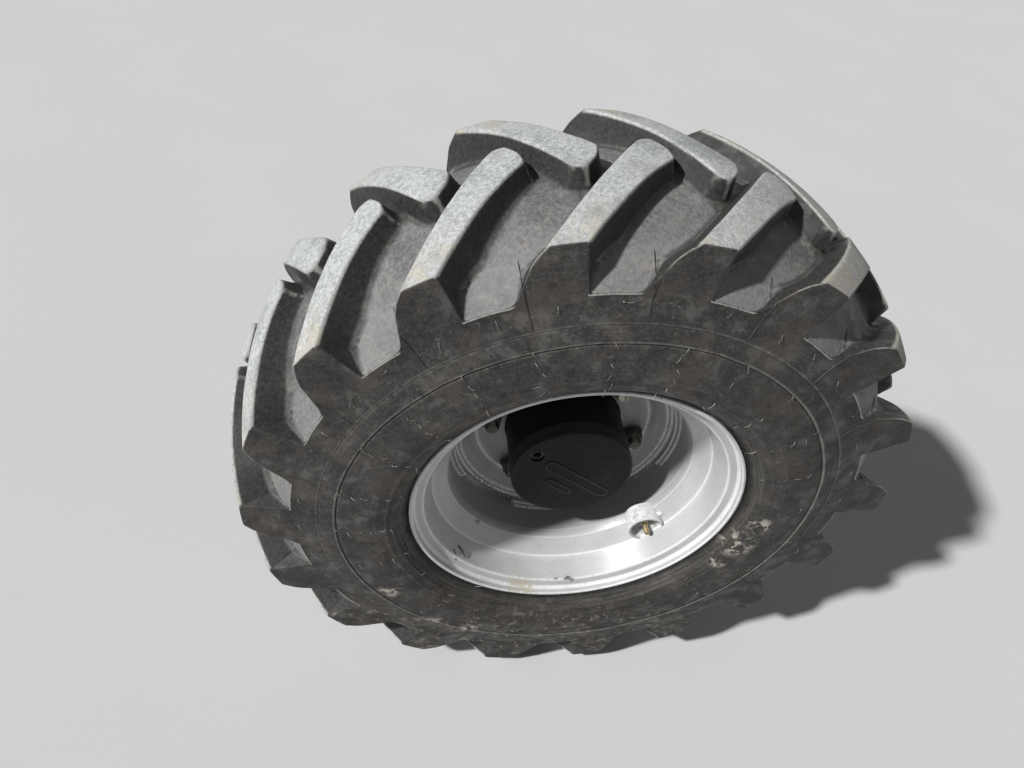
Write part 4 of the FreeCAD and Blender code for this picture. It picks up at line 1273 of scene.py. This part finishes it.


# Stains on the rim's paint, and painted shade inside the valve guard: place, reach in metres and colour.
RUST = (0.25, 0.17, 0.13)
SOIL = (0.07, 0.06, 0.045)
CLAY = (0.50, 0.44, 0.33)
RIM_STAINS = [
    (on_barrel(219.0, 151.0, -6.0), 0.006, RUST),
    (on_barrel(224.0, 150.0, -6.0), 0.007, RUST),
    (on_barrel(230.0, 150.0, -6.0), 0.007, RUST),
    (on_barrel(235.0, 150.0, -6.0), 0.005, RUST),
    (on_barrel(272.5, 193.0, 107.5), 0.0035, SOIL),
    (on_barrel(276.5, 193.2, 108.0), 0.0040, SOIL),
    (on_barrel(278.2, 193.2, 108.0), 0.0045, SOIL),
    (on_barrel(227.0, 163.5, 58.5), 0.004, SOIL),
    (on_barrel(258.0, 206.5, 112.0), 0.020, CLAY),
    # Painted shade: dark grey in the valve guard.
    (on_barrel(319.0, 169.0, 58.0), 0.016, (0.10, 0.10, 0.10)),
]


def paint_material(name, base, worn, dirt, roughness, specular=0.5, edge=None, grime_and_shade=(0.05, 0.045, 0.04),
                   stains=(), highlight_inner_bends=False, shaded=None, dust=None):
    """Paint on steel: orange peel, dust, dirt specks, worn edges that are partly a painted highlight, and
    grime with painted shade in the corners.
    Paint near the axis can be darkened as painted shade, and inner bends can get the pale edge colour as a
    painted highlight."""
    shader = Shader(name, specular=specular)
    span, times = shader.span, shader.times
    bend = shader.attribute("bend")
    cloud = shader.noise(0.06, 5.0, 0.6)
    fine = shader.noise(0.008, 6.0, 0.65, 0.4)
    speck = shader.noise(0.0030, 3.0, 0.75, 1.1)
    blot = shader.noise(0.005, 3.0, 0.6, 5.2)
    rings = shader.ringed(0.004, 0.12, 3.0, 0.6, 3.3)
    colour = shader.mix(span(cloud, 0.35, 0.68), base, worn)
    # Painted shade: paint near the axis, on the disc, darkened.
    if shaded:
        colour = shader.mix(times(span(shader.from_axis(), 0.166, 0.154), 0.85), colour, shaded)
    colour = shader.coats(colour, (rings, 0.46, 0.66, 0.30, worn), (fine, 0.54, 0.76, 0.40, dirt),
                          (speck, 0.66, 0.72, 0.75, tuple(c * 0.4 for c in dirt)))
    if dust:
        dots = shader.noise(0.0022, 4.0, 0.8, 7.7)
        colour = shader.mix(times(span(dots, 0.54, 0.66), span(cloud, 0.3, 0.6, 0.3, 0.75)), colour, dust)
    # Worn paint on edges, partly a painted highlight; where inner bends are asked for, they get the pale
    # edge colour too, as a painted highlight.
    if edge:
        sharp = shader.math("ABSOLUTE", bend) if highlight_inner_bends else bend
        wear_and_highlight = times(span(sharp, 0.015, 0.06), span(fine, 0.30, 0.55, 0.5, 1.0), 0.8)
        colour = shader.mix(wear_and_highlight, colour, edge)
    # Grime and painted shade: inner bends darkened.
    corner = times(span(bend, -0.08, -0.18), span(fine, 0.30, 0.60, 0.3, 1.0), 0.7)
    colour = shader.mix(corner, colour, grime_and_shade)
    for place, reach, stain in stains:
        ragged = shader.math("MULTIPLY_ADD", shader.math("SUBTRACT", blot, 0.5), reach * 6.0,
                             shader.away(place))
        colour = shader.mix(times(span(ragged, reach, reach * 0.35), 0.75), colour, stain)
    shader.bump((shader.noise(0.0045, 1.0, 0.5, 2.2), 0.00012, 0.4), (fine, 0.0002, 0.4),
                (speck, 0.0001, 0.4))
    return shader.finish(colour, span(fine, 0.3, 0.7, roughness, roughness + 0.18, smooth=False))


def metal_material(name, base, stained, roughness, lit_place=None):
    """Bare or plated metal with turning marks and stains. Away from its lit place it is darkened as painted
    shade.
    """
    shader = Shader(name, metallic=1.0)
    cloud = shader.noise(0.02, 5.0, 0.6)
    fine = shader.noise(0.002, 4.0, 0.6, 0.6)
    colour = shader.mix(shader.span(cloud, 0.38, 0.66), base, stained)
    # Painted shade: darker beyond a few centimetres from the lit place.
    if lit_place:
        colour = shader.coats(colour, (shader.away(lit_place), 0.03, 0.05, 0.9, (0.06, 0.058, 0.052)))
    shader.bump((fine, 0.0002, 0.5), (cloud, 0.0004, 0.4))
    return shader.finish(colour, shader.span(fine, 0.3, 0.7, roughness, roughness + 0.2, smooth=False),
                         shader.span(cloud, 0.5, 0.75, 1.0, 0.35))


SEAL_LOOK = ((0.016, 0.016, 0.017), (0.05, 0.047, 0.043), 0.35, (0.02, 0.0015), 0.7, (0.0002, 0.5),
             (0.45, 0.7))
MATERIALS = {
    "tyre": tyre_material(),
    # Rim: its pale edge colour is worn paint and a painted highlight along every bend, and its shaded
    # colour is painted shade on the disc.
    "rim_paint": paint_material(
        "rim_paint", (0.50, 0.51, 0.51), (0.43, 0.435, 0.43), (0.27, 0.26, 0.24), 0.26, specular=0.6,
        edge=(0.82, 0.825, 0.82), grime_and_shade=(0.20, 0.19, 0.17), stains=RIM_STAINS, highlight_inner_bends=True,
        shaded=(0.24, 0.245, 0.25)),
    # Hub: its pale edge colour is partly a painted glint on the cover's chamfer.
    "hub_paint": paint_material(
        "hub_paint", (0.0036, 0.0042, 0.0058), (0.0075, 0.0078, 0.0090), (0.055, 0.054, 0.050), 0.46,
        specular=0.15, edge=(0.060, 0.060, 0.058), dust=(0.026, 0.028, 0.031), grime_and_shade=(0.003, 0.003, 0.003)),
    "black_steel": paint_material(
        "black_steel", (0.016, 0.016, 0.013), (0.030, 0.030, 0.023), (0.070, 0.066, 0.050), 0.38,
        edge=(0.10, 0.097, 0.080), grime_and_shade=(0.006, 0.006, 0.005)),
    # Only the stud at the first angle stays lit; the other studs get painted shade.
    "zinc_steel": metal_material("zinc_steel", (0.46, 0.45, 0.38), (0.22, 0.20, 0.16), 0.34,
                                 on_barrel(STUD_ANGLES[0], STUD_CIRCLE, 5.0)),
    "bare_steel": metal_material("bare_steel", (0.45, 0.44, 0.42), (0.28, 0.26, 0.23), 0.28),
    "valve_brass": metal_material("valve_brass", (0.55, 0.45, 0.27), (0.27, 0.23, 0.16), 0.34),
    "seal_rubber": rubber_material("seal_rubber", *SEAL_LOOK),
    "bush_bronze": metal_material("bush_bronze", (0.50, 0.35, 0.15), (0.32, 0.22, 0.10), 0.34),
    # Vent hairs pale grey: a painted highlight on thin rubber.
    "hair": rubber_material("hair_rubber_highlight", (0.13, 0.125, 0.118), (0.34, 0.33, 0.31), 0.5, (0.01, 0.0012),
                            0.65, (0.0001, 0.4), (0.35, 0.6)),
    "mould_line": rubber_material("mould_line", *SEAL_LOOK),
}
SLOT_OF = {row["node"]: row["material_slot"] for row in frame["record"]["subparts"]}
BODY_OF = {node: body for body, nodes in frame["record"]["behaviour"]["bodies"].items() for node in nodes}


def dress(thing, finish):
    """Give a mesh a material in place of any other."""
    thing.data.materials.clear()
    thing.data.materials.append(MATERIALS[finish])


def stand_for(thing, *nodes):
    """Let a new piece ride where the nodes that it replaces ride, with their finish."""
    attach(thing, BODY_OF[nodes[0]])
    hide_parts(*nodes)
    dress(thing, SLOT_OF[nodes[0]])
    mark_bends(thing)


def ride_along(thing, body, slot, finish=None):
    """Let an added piece ride on a body, with the finish of a slot or one of its own."""
    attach(thing, body)
    dress(thing, finish or slot)
    mark_bends(thing)


for node, slot in SLOT_OF.items():
    dress(bpy.data.objects[node], slot)

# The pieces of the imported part, in the order in which they are made.
PIECES = {
    "tyre": build_tyre, "rim_barrel": build_barrel, "rim_disc": build_disc, "wheel_nuts": build_nuts,
    "wheel_studs": build_studs, "hub_cover": build_cover, "planet_housing": None, "filler_plug": build_plug,
    "valve_guard": build_guard, "valve_stem": build_stem, "hub_drum": None, "axle_arm": build_arm,
    "half_shaft": build_shaft, "spindle_seal": None, "shaft_seal": None, "shaft_bush": None,
}
for node, build in PIECES.items():
    stand_for(build() if build else turned(*TURNED[node]), node)
ride_along(build_welds(), "wheel", "rim_paint")
ride_along(build_mould_lines(), "wheel", "tyre", "mould_line")
ride_along(build_hairs(), "wheel", "tyre", "hair")
# Dark rods on the barrel, as painted shadows of hairs.
ride_along(build_shadow_strokes(), "wheel", "tyre", "mould_line")


# Camera, as it stood for the photograph: place in millimetres, angles in degrees.
CAMERA_PLACE = (-253.4, -1002.5, 815.2)
CAMERA_YAW = -13.35
CAMERA_DOWN = 44.81
CAMERA_ROLL = 11.1
CAMERA_LENS = 28.48
CAMERA_SENSOR = 36.0
FLOOR_HALF = 40.0
KEY_PLACE = (-2.44, -1.0, 2.44)
KEY_STRENGTH = 4.1
KEY_SPREAD = 3.0
SKY_LIGHT = 0.13
SKY_SEEN = 0.62


def add_camera():
    """Camera at the photograph's viewing angle."""
    yaw, down, roll = (math.radians(angle) for angle in (CAMERA_YAW, CAMERA_DOWN, CAMERA_ROLL))
    forward = Vector((-math.sin(yaw) * math.cos(down), math.cos(yaw) * math.cos(down), -math.sin(down)))
    level = Vector((math.cos(yaw), math.sin(yaw), 0.0))
    upright = level.cross(forward)
    right = level * math.cos(roll) + upright * math.sin(roll)
    up = upright * math.cos(roll) - level * math.sin(roll)
    data = bpy.data.cameras.new("photo_camera")
    data.sensor_width = CAMERA_SENSOR
    data.lens = CAMERA_LENS
    data.clip_start = 0.01
    camera = linked("photo_camera", data)
    axes = Matrix((right, up, -forward)).transposed().to_4x4()
    camera.matrix_world = Matrix.Translation(Vector(CAMERA_PLACE) * MM) @ axes
    bpy.context.scene.camera = camera


def add_floor():
    """Plain pale floor that the tyre stands on."""
    corners = [(x * FLOOR_HALF, y * FLOOR_HALF, CAD_BOX[0].z)
               for x, y in ((-1, -1), (1, -1), (1, 1), (-1, 1))]
    floor = new_object("studio_floor", corners, [(0, 1, 2, 3)], smooth=False)
    shader = Shader("studio_floor", roughness=0.9, specular=0.2)
    cloud = shader.noise(0.5, 3.0, 0.55)
    floor.data.materials.append(shader.finish(shader.mix(cloud, (0.60, 0.60, 0.595), (0.63, 0.63, 0.625))))


def add_key():
    """Main light from far off, aimed at the wheel. Its spread softens the shadows."""
    data = bpy.data.lights.new("key", "SUN")
    data.energy = KEY_STRENGTH
    data.angle = math.radians(KEY_SPREAD)
    lamp = linked("key", data)
    lamp.location = KEY_PLACE
    lamp.rotation_euler = Vector(KEY_PLACE).to_track_quat("Z", "Y").to_euler()


def add_sky():
    """Even pale light from all round. The camera and reflections see a paler studio."""
    world = bpy.data.worlds.new("studio")
    world.use_nodes = True
    tree = world.node_tree
    path = add_node(tree, "ShaderNodeLightPath", {})
    seen = path["Is Camera Ray"]
    for ray in ("Is Glossy Ray", "Is Transmission Ray"):
        seen = add_node(tree, "ShaderNodeMath", {0: seen, 1: path[ray]}, operation="MAXIMUM")["Value"]
    level = add_node(tree, "ShaderNodeMapRange", {"Value": seen, "To Min": SKY_LIGHT, "To Max": SKY_SEEN})
    fill(tree, tree.nodes["Background"], {"Color": (0.95, 0.97, 1.0), "Strength": level["Result"]})
    bpy.context.scene.world = world


add_camera()
add_floor()
add_key()
add_sky()
bpy.context.scene.view_settings.view_transform = "Standard"
